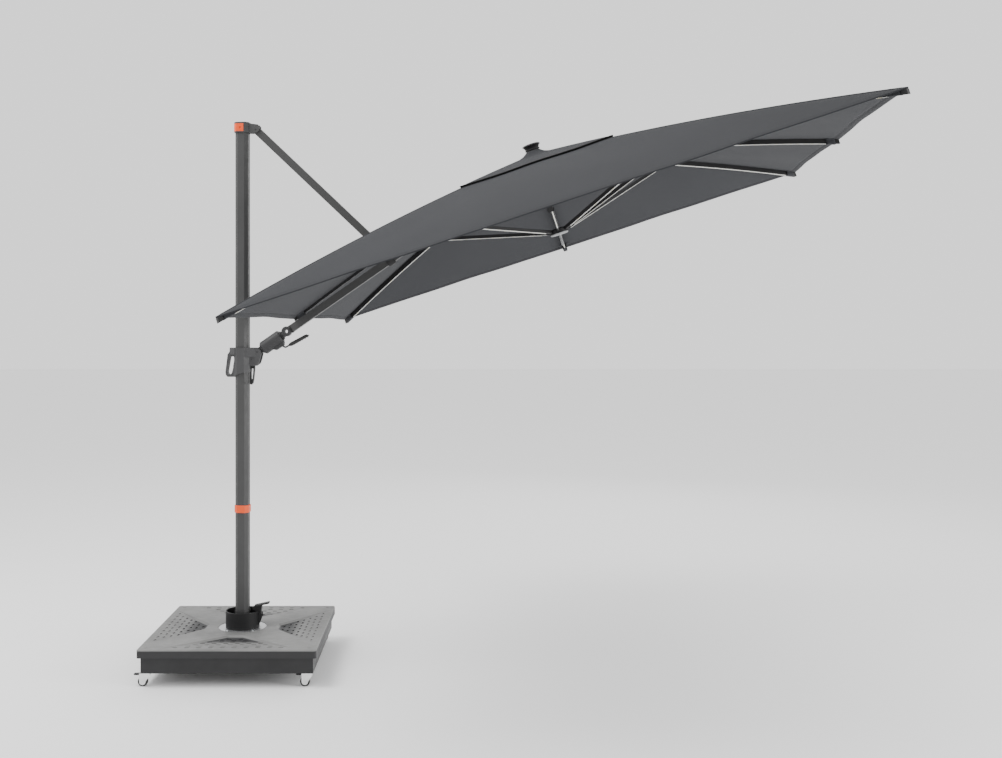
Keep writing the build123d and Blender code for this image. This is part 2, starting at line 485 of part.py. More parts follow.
def build_strut():
    """The diagonal tie between the mast's head and the boom, in its own frame."""
    radius = STRUT_DEPTH / 2
    head_end, foot_start = radius + 8, STRUT_LENGTH - 70
    tube = box_tube(head_end, foot_start, STRUT_DEPTH, STRUT_WIDTH, STRUT_WALL)
    parts["strut_tube"] = ARM * STRUT * tube
    plug_depth, plug_width = STRUT_DEPTH - 2 * STRUT_WALL, STRUT_WIDTH - 2 * STRUT_WALL
    head = cross_pin(radius, 0, 0, STRUT_WIDTH)
    head += bar(0, head_end, -STRUT_WIDTH / 2, STRUT_WIDTH / 2, -radius, radius)
    head += bar(head_end, head_end + 45, -plug_width / 2, plug_width / 2, -plug_depth / 2, plug_depth / 2)
    head -= cross_pin(LINK_PIN_RADIUS + FIT, 0, 0, 2 * STRUT_WIDTH)
    parts["strut_head"] = ARM * STRUT * head
    slot_half = LINK_PIN_RADIUS + OPEN_ALONG
    tongue_radius = slot_half + 4
    tongue = TONGUE_THICKNESS / 2
    foot = bar(foot_start - 45, foot_start, -plug_width / 2, plug_width / 2, -plug_depth / 2, plug_depth / 2)
    foot += bar(foot_start, foot_start + 20, -STRUT_WIDTH / 2, STRUT_WIDTH / 2, -radius, radius)
    foot += bar(foot_start + 20, STRUT_LENGTH, -tongue, tongue, -tongue_radius - OPEN_ACROSS,
                tongue_radius + OPEN_ACROSS)
    hole = bar(STRUT_LENGTH - slot_half, STRUT_LENGTH + slot_half, -STRUT_WIDTH, STRUT_WIDTH,
               -OPEN_ACROSS, OPEN_ACROSS)
    foot += bar(STRUT_LENGTH - 1, STRUT_LENGTH + tongue_radius, -tongue, tongue, -OPEN_ACROSS, OPEN_ACROSS)
    for z in (-OPEN_ACROSS, OPEN_ACROSS):
        foot += cross_pin(tongue_radius, STRUT_LENGTH, z, TONGUE_THICKNESS)
        hole += cross_pin(slot_half, STRUT_LENGTH, z, 2 * STRUT_WIDTH)
    parts["strut_foot"] = ARM * STRUT * (foot - hole)


# ---------------------------------------------------------------- carriage, in the arm frame
def plan_prism(points, z0, z1):
    """A prism whose plan is a polygon given for Y >= 0 and mirrored."""
    mirrored = [(x, -y) for x, y in reversed(points)]
    return Pos(0, 0, z0) * extrude(make_face(Polyline(*points, *mirrored, close=True)), z1 - z0)


def build_carriage():
    """The sliding carriage with its fixed grip, liner, squeeze handle and boom pin."""
    x, z = BOOM_PIVOT_OUT, BOOM_PIVOT_UP
    top, foot = z + CARRIAGE_TOP, z + CARRIAGE_TOP - CARRIAGE_HEIGHT
    half = CARRIAGE_SIDE / 2
    bore_side = MAST_SIDE + 2 * (GAP + CARRIAGE_LINER)
    bore_cut = MAST_CHAMFER + 2
    half_grip, half_cheeks = GRIP_WIDTH / 2, CHEEKS_WIDTH / 2
    half_gap = KNUCKLE_WIDTH / 2 + CHEEK_GAP

    sleeve = mast_prism(CARRIAGE_SIDE, CARRIAGE_CHAMFER, foot, top)
    lower_edge = side_plate([(-half - 9, foot - 5), (-half + 6, foot), (-9, foot + 16), (16, foot + 22),
                             (half + 9, foot + 30), (half + 9, foot - 5)], 2 * CARRIAGE_SIDE)
    sleeve -= lower_edge
    shoulder = plan_prism([(-GRIP_OUT, half_grip), (-GRIP_OUT / 2, half - 6), (0, half - 6)], top - 38, top)
    shoulder += plan_prism([(0, half - 3), (half - 6, half - 3), (x - 9, half_cheeks), (x, half_cheeks)], top - 49, top)
    cheeks = side_plate([(0, top - 2), (x - 12, top), (x + 11, top - 5), (x + 21, top - 15), (x + 23, top - 32),
                         (x + 16, top - 61), (x + 8, top - 85), (x - 11, top - 99), (0, top - 99)], CHEEKS_WIDTH)
    grip = side_plate([(-half + 8, top - 1), (-GRIP_OUT + 3, top - 1), (-GRIP_OUT, top - 4),
                       (-GRIP_OUT - 1, top - 22), (-GRIP_OUT - 12, top - 36), (-GRIP_OUT - 24, top - 132),
                       (-GRIP_OUT - 22, top - 148), (-GRIP_OUT - 12, top - 159), (-half + 8, top - 159)], GRIP_WIDTH)
    housing = sleeve + shoulder + cheeks + grip
    finger_slot = side_plate([(-half + 8, top - 52), (-half + 4, top - 48), (-half - 6, top - 45),
                              (-GRIP_OUT + 1, top - 52), (-GRIP_OUT - 13, top - 132), (-GRIP_OUT - 7, top - 144),
                              (-half - 16, top - 146), (-half - 9, top - 138), (-half + 8, top - 70)],
                             2 * CARRIAGE_SIDE)
    housing -= finger_slot
    housing -= bar(bore_side / 2 - SLIVER, x + 60, -half_gap, half_gap, foot - 10, top + SLIVER)
    housing -= mast_prism(bore_side, bore_cut, foot - 20, top + SLIVER)
    pin_x, pin_z = HANDLE_PIN_OUT, z - HANDLE_PIN_DOWN
    housing -= cross_pin(LINK_PIN_RADIUS, x, z, 2 * CARRIAGE_SIDE)
    housing -= cross_pin(HANDLE_PIN_RADIUS, pin_x, pin_z, 2 * CARRIAGE_SIDE)
    parts["carriage_housing"] = housing

    liner = mast_prism(bore_side, bore_cut, foot + 34, top - 3)
    parts["carriage_liner"] = liner - mast_prism(MAST_SIDE + 2 * GAP, MAST_CHAMFER, foot, top + SLIVER)
    boom_pin = cross_pin(LINK_PIN_RADIUS, x, z, CHEEKS_WIDTH)
    handle_pin = cross_pin(HANDLE_PIN_RADIUS, pin_x, pin_z, CHEEKS_WIDTH)
    parts["carriage_pins"] = Compound([boom_pin, handle_pin])
    build_handle(pin_x, pin_z)


def build_handle(x, z):
    """The squeeze handle: a long loop hung from its pin beside the mast."""
    back = x - 12
    outline = [(back, z + 5), (x - 4, z + 8), (x + 8, z + 8), (x + 13, z), (x + 12, z - 55), (x + 6, z - 112),
               (x + 2, z - 130), (x - 5, z - 138), (x - 12, z - 134), (back - 1, z - 118), (back, z - 60)]
    window = [(back + 4, z - 58), (back + 9, z - 48), (x + 6, z - 50), (x + 6, z - 62), (x + 2, z - 106),
              (x - 2, z - 112), (back + 5, z - 106)]
    loop = side_plate(outline, HANDLE_WIDTH) - side_plate(window, 2 * HANDLE_WIDTH)
    parts["squeeze_handle"] = loop - cross_pin(HANDLE_PIN_RADIUS + FIT, x, z, 2 * HANDLE_WIDTH)


# ---------------------------------------------------------------- boom, in the boom frame
def build_barrel():
    """Knuckle, tilt barrel and tilt lever."""
    end = BARREL_START + BARREL_LENGTH
    bore = SHAFT_RADIUS + FIT
    knuckle = cross_pin(KNUCKLE_RADIUS, 0, 0, KNUCKLE_WIDTH)
    knuckle += bar(0, BARREL_START, -KNUCKLE_WIDTH / 2, KNUCKLE_WIDTH / 2, -KNUCKLE_RADIUS + 2, KNUCKLE_RADIUS - 2)
    knuckle -= cross_pin(LINK_PIN_RADIUS + FIT, 0, 0, 2 * KNUCKLE_WIDTH)
    parts["boom_knuckle"] = knuckle

    barrel = along_x(BARREL_RADIUS, BARREL_START, end)
    barrel = chamfer(barrel.edges().group_by(Axis.X)[0], 11)
    barrel = chamfer(barrel.edges().group_by(Axis.X)[-1], 5)
    boss = side_plate([(end - 74, 0), (end - 74, -BARREL_RADIUS), (end - 62, -LEVER_DROP - 6),
                       (end - 14, -LEVER_DROP - 6), (end - 4, -LEVER_DROP + 8), (end - 4, 0)], 30)
    barrel += boss
    barrel -= along_x(bore, BARREL_START + 22, end + SLIVER)
    lever_x = end - 26
    barrel -= bar(lever_x - 12, end + 20, -6, 6, -LEVER_DROP - 12, -LEVER_DROP + 12)
    barrel += cross_pin(LEVER_PIN_RADIUS, lever_x, -LEVER_DROP, 32)
    parts["tilt_barrel"] = barrel

    root = cross_pin(6.5, lever_x, -LEVER_DROP, 11)
    elbow = (lever_x + 12, -LEVER_DROP - 21)
    path = FilletPolyline((lever_x, -LEVER_DROP), elbow, (lever_x + 46, -LEVER_DROP - 23), radius=9)
    route = Plane.XZ * path
    section = Plane(route @ 0, z_dir=route % 0) * Circle(LEVER_ROD_RADIUS)
    arm = sweep(section, route)
    lever = (root + arm) - cross_pin(LEVER_PIN_RADIUS + FIT, lever_x, -LEVER_DROP, 30)
    parts["tilt_lever"] = lever
    grip_place = Pos(lever_x + 38, 0, -LEVER_DROP - 23) * Rot(0, 6, 0)
    grip = side_plate([(0, -7), (0, 6), (16, 9), (104, 8), (120, -1), (112, -7), (20, -10)], 26)
    grip = fillet(grip.edges().filter_by(Axis.Y), 2.5)
    parts["lever_grip"] = (grip_place * grip) - lever
    for node in ("boom_knuckle", "tilt_barrel", "tilt_lever", "lever_grip"):
        parts[node] = ARM * BOOM * parts[node]


def build_boom():
    """Tilt shaft with its eye, seals, boom tube, journal and the strut's clevis."""
    seal_start = BARREL_START + BARREL_LENGTH
    eye_start = seal_start + SEAL_LENGTH
    eye_end = eye_start + EYE_LENGTH
    eye_x = (eye_start + eye_end) / 2 + 4
    seals = along_x(SEAL_RADIUS, seal_start + GAP, eye_start) - along_x(SHAFT_RADIUS, seal_start, eye_end)
    plug_depth, plug_width = BOOM_DEPTH - 2 * BOOM_WALL, BOOM_WIDTH - 2 * BOOM_WALL
    outer_seal = along_x(SEAL_RADIUS - 2, eye_end, BOOM_START)
    outer_seal -= bar(eye_end - 1, BOOM_START + 1, -plug_width / 2, plug_width / 2, -plug_depth / 2, plug_depth / 2)
    coupling = along_x(SHAFT_RADIUS, BARREL_START + 30, eye_start + 10)
    coupling += bar(eye_start, eye_end, -EYE_THICKNESS / 2, EYE_THICKNESS / 2, -17, 17)
    coupling += cross_pin(EYE_RADIUS, eye_x, 3, EYE_THICKNESS)
    coupling &= bar(0, eye_end, -60, 60, -60, 60)
    coupling += bar(eye_end - 1, BOOM_START + 60, -plug_width / 2, plug_width / 2, -plug_depth / 2, plug_depth / 2)
    coupling -= cross_pin(EYE_HOLE_RADIUS, eye_x, 3, 2 * EYE_THICKNESS)
    parts["eye_coupling"] = coupling
    parts["boom_seals"] = Compound([seals, outer_seal])

    boom_end = BOOM_REACH - (HUB_RADIUS - RIB_SOCKET) / cos(radians(CANOPY_PITCH))
    journal_x0, journal_x1 = CLEVIS_ALONG - JOURNAL_LENGTH / 2, CLEVIS_ALONG + JOURNAL_LENGTH / 2
    boom = box_tube(BOOM_START, boom_end, BOOM_DEPTH, BOOM_WIDTH, BOOM_WALL)
    parts["boom_tube"] = boom
    solid_boom = bar(BOOM_START, boom_end, -BOOM_WIDTH / 2, BOOM_WIDTH / 2, -BOOM_DEPTH / 2, BOOM_DEPTH / 2)
    parts["boom_journal"] = along_x(JOURNAL_RADIUS, journal_x0, journal_x1) - solid_boom

    ring_inner = JOURNAL_RADIUS + FIT
    ring_outer = JOURNAL_RADIUS + CLEVIS_RING_WALL
    ring_half = JOURNAL_LENGTH / 2 - 4
    gap = TONGUE_THICKNESS / 2 + 1
    ring = along_x(ring_outer, CLEVIS_ALONG - ring_half, CLEVIS_ALONG + ring_half)
    for side in (-1, 1):
        ring += side_plate([(CLEVIS_ALONG - ring_half, 10), (CLEVIS_ALONG + ring_half, 10),
                            (CLEVIS_ALONG + 10, CLEVIS_RISE + 6), (CLEVIS_ALONG + 6, CLEVIS_RISE + 10),
                            (CLEVIS_ALONG - 6, CLEVIS_RISE + 10), (CLEVIS_ALONG - 10, CLEVIS_RISE + 6)],
                           CLEVIS_EAR, side * (gap + CLEVIS_EAR / 2))
    ring -= along_x(ring_inner, CLEVIS_ALONG - 60, CLEVIS_ALONG + 60)
    ring += cross_pin(LINK_PIN_RADIUS, CLEVIS_ALONG, CLEVIS_RISE, 2 * (gap + CLEVIS_EAR) + 2)
    parts["strut_clevis"] = ring
    for node in ("eye_coupling", "boom_seals", "boom_tube", "boom_journal", "strut_clevis"):
        parts[node] = ARM * BOOM * parts[node]
    return CANOPY.inverse() * BOOM * solid_boom


# ---------------------------------------------------------------- canopy, in the canopy frame
def panel(reach, width, drop, share_in, share_out):
    """One of four cover panels: a curved strip cut to a triangle by the diagonals."""
    strip = bowed_strip(share_in * reach, share_out * reach, reach, drop, FABRIC, width)
    half = width / 2
    plan = Polyline((0, 0), (reach * 1.001, -half * 1.001), (reach * 1.001, half * 1.001), close=True)
    return strip & extrude(Pos(0, 0, -CANOPY_RISE) * make_face(plan), 3 * CANOPY_RISE)


def build_cover():
    """Cover and vent cover as thin curved panels, with the strut's slot."""
    sides = ((0, HALF_LENGTH, CANOPY_WIDTH), (90, HALF_WIDTH, CANOPY_LENGTH),
             (180, HALF_LENGTH, CANOPY_WIDTH), (270, HALF_WIDTH, CANOPY_LENGTH))
    slot = bar(CLEVIS_X - SLOT_DOWNHILL, CLEVIS_X + SLOT_UPHILL, -SLOT_WIDTH / 2, SLOT_WIDTH / 2, 0, CANOPY_RISE)
    cover, vent = [], []
    neck = rod(FINIAL_NECK + GAP, 0, 2 * CANOPY_RISE)
    for turn, reach, width in sides:
        cover.append(Rot(0, 0, turn) * panel(reach, width, 0, OPENING_SHARE, 1) - slot)
        vent.append(Rot(0, 0, turn) * panel(reach, width, -VENT_LIFT, 0.0, VENT_SHARE) - neck)
    parts["canopy_cover"] = Compound(cover)
    parts["vent_cover"] = Compound(vent)


def build_frame(solid_boom):
    """Hub, pole, runner, ribs, stretchers, light strips and the finial."""
    cap_in = 1 - CAP_SHARE
    hub = rod(HUB_RADIUS, HUB_TOP - HUB_HEIGHT, HUB_TOP)
    hub = chamfer(hub.edges().group_by(Axis.Z)[0], 6)
    ribs, caps, strips, stretchers = {}, [], [], []
    pole_top = HUB_TOP - HUB_HEIGHT / 2
    pole = rod(POLE_RADIUS, -POLE_BELOW + POLE_END_LENGTH, pole_top)
    pole += rod(POLE_END_RADIUS, -POLE_BELOW, -POLE_BELOW + POLE_END_LENGTH)
    runner_low = -RUNNER_HEIGHT / 2
    runner = rod(RUNNER_RADIUS, runner_low, runner_low + RUNNER_HEIGHT)
    runner = chamfer(runner.edges().group_by(Axis.Z)[-1], 5)
    plate = rod(RUNNER_RADIUS - 2, runner_low - RUNNER_PLATE, runner_low)
    plate = chamfer(plate.edges().group_by(Axis.Z)[0], 3)
    for name, angle, reach in spoke_angles():
        turn = Rot(0, 0, angle)
        on_arm = name == "arm"
        depth = ARM_RIB_DEPTH if on_arm else RIB_DEPTH
        drop = spoke_drop(name, RIB_WIDTH)
        rib = turn * bowed_tube(HUB_RADIUS - RIB_SOCKET + 1, cap_in * reach, reach, drop, depth, RIB_WIDTH)
        solid_rib = turn * bowed_strip(HUB_RADIUS - RIB_SOCKET + 1, cap_in * reach, reach, drop, depth, RIB_WIDTH)
        hub -= turn * bowed_strip(HUB_RADIUS - RIB_SOCKET, 2 * HUB_RADIUS, reach, drop - 1, depth + 2, RIB_WIDTH + 1)
        if on_arm:
            clear = 14
            rib -= bar(CLEVIS_X - SLOT_DOWNHILL - clear, CLEVIS_X + SLOT_UPHILL + clear, -40, 40, 0, CANOPY_RISE)
            rib -= solid_boom
        ribs[name] = rib
        cap_width = RIB_WIDTH + 2 * CAP_LIP
        caps.append(turn * bowed_strip(cap_in * reach, CAP_END * reach, reach, spoke_drop(name, cap_width), depth,
                                       cap_width))
        if not on_arm:
            strip = bowed_strip(STRIP_START * reach, STRIP_END * reach, reach, drop + depth - SLIVER,
                                STRIP_DEPTH + SLIVER, STRIP_WIDTH)
            strips.append(turn * strip - solid_rib)
        bar_end = STRETCHER_SHARE * reach
        end_z = rise_at(STRETCHER_SHARE) - drop - RIB_DEPTH + 4
        if on_arm:
            end_z = CANOPY_RISE - CROWN_DROP - bar_end * BOOM_SLOPE - BOOM_DEPTH / 2 + 4
        inner_x = RUNNER_RADIUS - 14
        run, climb = bar_end - inner_x, end_z - STRETCHER_RAISE
        length, slope = hypot(run, climb), degrees(atan2(climb, run))
        place = turn * Pos(inner_x, 0, STRETCHER_RAISE) * Rot(0, -slope, 0)
        tube = box_tube(0, length, STRETCHER_DEPTH, STRETCHER_WIDTH, RIB_WALL)
        stretcher = place * Pos(0, 0, -STRETCHER_DEPTH / 2) * tube
        trim = place * bar(RUNNER_RADIUS, length - 24, -STRIP_WIDTH / 2, STRIP_WIDTH / 2,
                           -STRETCHER_DEPTH - STRIP_DEPTH, -STRETCHER_DEPTH)
        strips.append(trim)
        stretcher -= solid_boom if on_arm else solid_rib
        runner -= place * bar(-SLIVER, length, -STRETCHER_WIDTH / 2, STRETCHER_WIDTH / 2, -STRETCHER_DEPTH,
                              RUNNER_HEIGHT)
        stretchers.append(stretcher)
    boom_room = CANOPY.inverse() * BOOM * bar(BOOM_REACH - 2 * HUB_RADIUS, BOOM_REACH - HUB_RADIUS + RIB_SOCKET,
                                              -BOOM_WIDTH / 2, BOOM_WIDTH / 2, -BOOM_DEPTH / 2, BOOM_DEPTH / 2)
    hub -= boom_room
    hub -= rod(POLE_RADIUS, HUB_TOP - HUB_HEIGHT - SLIVER, pole_top)
    bore = rod(POLE_RADIUS + FIT, -2 * RUNNER_RADIUS, 2 * RUNNER_RADIUS)
    parts["crown_hub"] = hub
    parts["canopy_pole"] = pole
    parts["runner"] = runner - bore
    parts["runner_plate"] = plate - bore
    parts["corner_ribs"] = Compound([ribs[n] for n in ("left_top", "left_low", "right_low", "right_top")])
    parts["side_ribs"] = Compound([ribs[n] for n in ("uphill", "left", "right", "arm")])
    parts["rib_caps"] = Compound(caps)
    parts["light_strips"] = Compound(strips)
    parts["stretchers"] = Compound(stretchers)

    neck_top = CANOPY_RISE + VENT_LIFT + FINIAL_HEIGHT - 6
    profile = Polyline((0, HUB_TOP), (FINIAL_NECK, HUB_TOP), (FINIAL_NECK, CANOPY_RISE + VENT_LIFT))
    flare = ThreePointArc((FINIAL_NECK, CANOPY_RISE + VENT_LIFT),
                          (FINIAL_NECK + 3, neck_top - 14), (FINIAL_RADIUS - 4, neck_top))
    outline = profile + flare + Polyline((FINIAL_RADIUS - 4, neck_top), (0, neck_top), (0, HUB_TOP))
    parts["finial_body"] = revolve(Plane.XZ * make_face(outline), Axis.Z)
    parts["finial_panel"] = chamfer(rod(FINIAL_RADIUS, neck_top, neck_top + 6).edges().group_by(Axis.Z)[-1], 1.5)
    for node in ("crown_hub", "canopy_pole", "runner", "runner_plate", "corner_ribs", "side_ribs", "rib_caps",
                 "light_strips", "stretchers", "finial_body", "finial_panel", "canopy_cover", "vent_cover"):
        parts[node] = ARM * CANOPY * parts[node]


build_base()
build_castors()
build_mast()
for node in ("mast_foot", "swivel_bush", "mast_tube", "mast_ring", "mast_head", "head_insert", "strut_top_pin"):
    parts[node] = ARM * parts[node]
build_strut()
build_carriage()
for node in ("carriage_housing", "carriage_liner", "carriage_pins", "squeeze_handle"):
    parts[node] = ARM * parts[node]
build_barrel()
boom_in_canopy = build_boom()
build_cover()
build_frame(boom_in_canopy)

os.makedirs("parts", exist_ok=True)
for node, shape in parts.items():
    export_step(shape, f"parts/{node}.step")
print(len(parts), "nodes; strut", round(STRUT_LENGTH, 1), "at", round(STRUT_ANGLE, 2),
      "deg; canopy origin", [round(v, 1) for v in CANOPY.position])
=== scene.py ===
"""A side-post garden umbrella: a square vented canopy on a sliding, tilting boom and a wheeled ballast base.

The engineering pieces come from the frame and get their finishes here. The cloth, its seams, hems, sleeves
and bindings, and the small trim are built here, in metres, around the frame.
"""

import json
import logging
from dataclasses import dataclass, field
from enum import Enum
from math import atan2, copysign, cos, hypot, pi, radians, sin
from typing import Callable, Sequence, Union

import bmesh
import bpy
import numpy as np
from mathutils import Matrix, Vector


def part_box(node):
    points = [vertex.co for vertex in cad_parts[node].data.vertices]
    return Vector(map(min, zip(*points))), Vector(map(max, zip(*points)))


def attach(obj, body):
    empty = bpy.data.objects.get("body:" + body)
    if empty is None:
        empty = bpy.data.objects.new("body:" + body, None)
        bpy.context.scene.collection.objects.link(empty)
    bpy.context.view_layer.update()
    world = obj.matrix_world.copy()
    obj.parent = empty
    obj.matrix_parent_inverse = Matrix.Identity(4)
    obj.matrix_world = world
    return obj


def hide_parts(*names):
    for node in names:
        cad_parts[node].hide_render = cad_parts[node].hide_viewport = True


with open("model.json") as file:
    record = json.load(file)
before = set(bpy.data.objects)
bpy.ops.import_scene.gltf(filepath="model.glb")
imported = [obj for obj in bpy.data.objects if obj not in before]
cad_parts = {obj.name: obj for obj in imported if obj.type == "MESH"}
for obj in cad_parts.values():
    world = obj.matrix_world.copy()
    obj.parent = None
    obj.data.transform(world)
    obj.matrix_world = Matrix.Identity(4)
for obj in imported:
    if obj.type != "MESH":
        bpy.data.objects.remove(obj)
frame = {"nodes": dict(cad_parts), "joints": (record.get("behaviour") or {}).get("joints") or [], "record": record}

LOG = logging.getLogger("umbrella")

Colour = tuple[float, float, float]
Point = tuple[float, float, float]


def linear(code: str) -> Colour:
    """Turn a display colour code such as 5a5b5e into linear red, green and blue."""
    parts = [int(code[i:i + 2], 16) / 255 for i in (0, 2, 4)]
    red, green, blue = (p / 12.92 if p <= 0.04045 else ((p + 0.055) / 1.055) ** 2.4 for p in parts)
    return red, green, blue


def scaled(colour: Colour, factor: float) -> Colour:
    """Brighten or darken a colour."""
    red, green, blue = (min(1.0, c * factor) for c in colour)
    return red, green, blue


# ------------------------------------------------------------------ shader building
class Signal:
    """A number that varies over a surface, with arithmetic that adds Math nodes."""

    def __init__(self, shader: "Shader", socket: bpy.types.NodeSocket) -> None:
        """Wrap one output socket of a shader's node."""
        self.shader, self.socket = shader, socket

    def math(self, operation: str, *values: "Value") -> "Signal":
        """Apply a Math node to this signal and the other values.

        Args:
            operation: the Math node's operation.
            values: its further inputs.
        Returns:
            The result as a new signal.
        """
        inputs = {i: v for i, v in enumerate((self, *values))}
        return self.shader.node("ShaderNodeMath", {"operation": operation}, inputs)

    def __add__(self, other: "Value") -> "Signal":
        """Add."""
        return self.math("ADD", other)

    def __sub__(self, other: "Value") -> "Signal":
        """Subtract."""
        return self.math("SUBTRACT", other)

    def __mul__(self, other: "Value") -> "Signal":
        """Multiply."""
        return self.math("MULTIPLY", other)

    def __lt__(self, other: "Value") -> "Signal":
        """Give 1 where this is below the other value, else 0."""
        return self.math("LESS_THAN", other)

    def __mod__(self, other: "Value") -> "Signal":
        """Wrap into 0 to the other value."""
        return self.math("FLOORED_MODULO", other)

    def __abs__(self) -> "Signal":
        """Drop the sign."""
        return self.math("ABSOLUTE")

    def sine(self) -> "Signal":
        """Sine of this signal in radians."""
        return self.math("SINE")


Value = Union[Signal, float, int]


class Shader:
    """One procedural material around a single Principled surface."""

    def __init__(self, name: str) -> None:
        """Start an empty material with its surface and output."""
        self.material = bpy.data.materials.new(name)
        self.material.use_nodes = True
        self.tree = self.material.node_tree
        self.tree.nodes.clear()
        self.surface = self.tree.nodes.new("ShaderNodeBsdfPrincipled")
        output = self.tree.nodes.new("ShaderNodeOutputMaterial")
        self.tree.links.new(self.surface.outputs[0], output.inputs["Surface"])

    def node(self, kind: str, settings: dict | None = None, inputs: dict | None = None,
             output: int | str = 0) -> Signal:
        """Make one node.

        Args:
            kind: the node's type.
            settings: its properties, which are set first.
            inputs: values or signals of its sockets, by name or number.
            output: which output to hand back.
        Returns:
            The chosen output as a signal.
        """
        made = self.tree.nodes.new(kind)
        for key, value in (settings or {}).items():
            setattr(made, key, value)
        for key, value in (inputs or {}).items():
            self.feed(made.inputs[key], value)
        return Signal(self, made.outputs[output])

    def feed(self, socket: bpy.types.NodeSocket, value: "Value | Colour") -> None:
        """Link a signal to a socket, or set the socket's own value."""
        if isinstance(value, Signal):
            self.tree.links.new(value.socket, socket)
        elif isinstance(value, tuple) and socket.type == "RGBA":
            socket.default_value = (*value[:3], 1.0)
        else:
            socket.default_value = value

    def set(self, **sockets: "Value | Colour") -> None:
        """Feed the surface's sockets; an underscore in a name stands for a space."""
        for name, value in sockets.items():
            self.feed(self.surface.inputs[name.replace("_", " ")], value)

    def place(self) -> Signal:
        """Position on the piece, in metres."""
        return self.node("ShaderNodeTexCoord", output="Object")

    def cloth_place(self) -> Signal:
        """Position on the flat cloth, in metres."""
        return self.node("ShaderNodeUVMap", {"uv_map": "cut"})

    def parts_of(self, vector: Signal) -> tuple[Signal, Signal, Signal]:
        """Split a vector into its three numbers."""
        split = self.node("ShaderNodeSeparateXYZ", inputs={0: vector}).socket.node
        first, second, third = (Signal(self, split.outputs[i]) for i in range(3))
        return first, second, third

    def stretch(self, vector: Signal, factors: Point) -> Signal:
        """Scale a vector's three numbers."""
        return self.node("ShaderNodeVectorMath", {"operation": "MULTIPLY"}, {0: vector, 1: factors})

    def noise(self, vector: Signal, scale: float, detail: float = 3.0, roughness: float = 0.55) -> Signal:
        """Fractal noise of a scale, about 0.5 in the middle."""
        return self.node("ShaderNodeTexNoise", None, {
            "Vector": vector, "Scale": scale, "Detail": detail, "Roughness": roughness})

    def between(self, factor: Value, low: "Colour | Signal", high: "Colour | Signal") -> Signal:
        """Mix two colours."""
        factor_in, low_in, high_in, colour_out = 0, 6, 7, 2
        settings = {"data_type": "RGBA", "clamp_factor": True}
        return self.node("ShaderNodeMix", settings, {factor_in: factor, low_in: low, high_in: high}, colour_out)

    def fade(self, value: Signal, start: float, end: float, low: float = 0.0, high: float = 1.0) -> Signal:
        """Map a range of a signal smoothly onto another range."""
        return self.node("ShaderNodeMapRange", {"interpolation_type": "SMOOTHSTEP"}, {
            0: value, 1: start, 2: end, 3: low, 4: high})

    def bump(self, height: Signal, distance: float) -> None:
        """Raise the surface by a height signal, over a distance in metres."""
        normal = self.node("ShaderNodeBump", None, {"Height": height, "Distance": distance, "Strength": 1.0})
        self.set(Normal=normal)


# ------------------------------------------------------------------ finishes
@dataclass(frozen=True)
class Finish:
    """What every finish has: its colour, its roughness and how far the colour varies."""

    colour: Colour
    roughness: float = 0.5
    variation: float = 0.12

    def dress(self, name: str) -> bpy.types.Material:
        """Make the material.

        Args:
            name: the material's name.
        Returns:
            The new material.
        """
        shader = Shader(name)
        self.build(shader)
        return shader.material

    def build(self, shader: Shader) -> None:
        """Add the finish's nodes to a new shader."""
        raise NotImplementedError

    def cloudy(self, shader: Shader, vector: Signal, scale: float) -> Signal:
        """Feed a base colour that varies softly, and return the clouds."""
        clouds = shader.noise(vector, scale)
        low, high = self.tones()
        shader.set(Base_Color=shader.between(shader.fade(clouds, 0.3, 0.7), low, high))
        return clouds

    def tones(self) -> tuple[Colour, Colour]:
        """The darkest and the lightest colour that the finish varies between."""
        return scaled(self.colour, 1 - self.variation), scaled(self.colour, 1 + self.variation)


@dataclass(frozen=True)
class WovenFabric(Finish):
    """Solution-dyed canopy cloth in a plain weave."""

    roughness: float = 0.92
    pitch: float = 0.0016
    depth: float = 0.0002
    slub: tuple[float, float] = (420.0, 34.0)
    stitch_rows: tuple[float, ...] = ()
    stitch_pitch: float = 0.006
    stitch_share: float = 0.72
    thread: float = 0.0009

    def build(self, shader: Shader) -> None:
        """Weave, slubs and slight fading; rows of stitches where the piece has them."""
        flat = shader.cloth_place()
        across, along, _ = shader.parts_of(flat)
        turns = 2 * pi / self.pitch
        weave = (across * turns).sine() * (along * turns).sine()
        fine, coarse = self.slub
        slubs = shader.noise(shader.stretch(flat, (fine, coarse, 1.0)), 1.0, 2.0)
        crossed = shader.noise(shader.stretch(flat, (coarse, fine, 1.0)), 1.0, 2.0)
        clouds = shader.noise(flat, 1.6)
        tone = shader.fade(clouds * 0.6 + slubs * 0.2 + crossed * 0.2, 0.32, 0.68)
        low, high = self.tones()
        base = shader.between(tone, low, high)
        height = weave * 0.5 + slubs * 0.5 + crossed * 0.5
        for row in self.stitch_rows:
            beside = abs(along - row) < self.thread
            dash = ((across % self.stitch_pitch) < self.stitch_share * self.stitch_pitch) * beside
            base = shader.between(dash, base, scaled(self.colour, 0.45))
            height = height + dash * 1.5
        shader.set(Base_Color=base, Roughness=shader.fade(slubs, 0.3, 0.7, self.roughness - 0.06, 0.98))
        shader.set(Sheen_Weight=0.05, Sheen_Roughness=0.6, Specular_IOR_Level=0.12)
        shader.bump(height, self.depth)


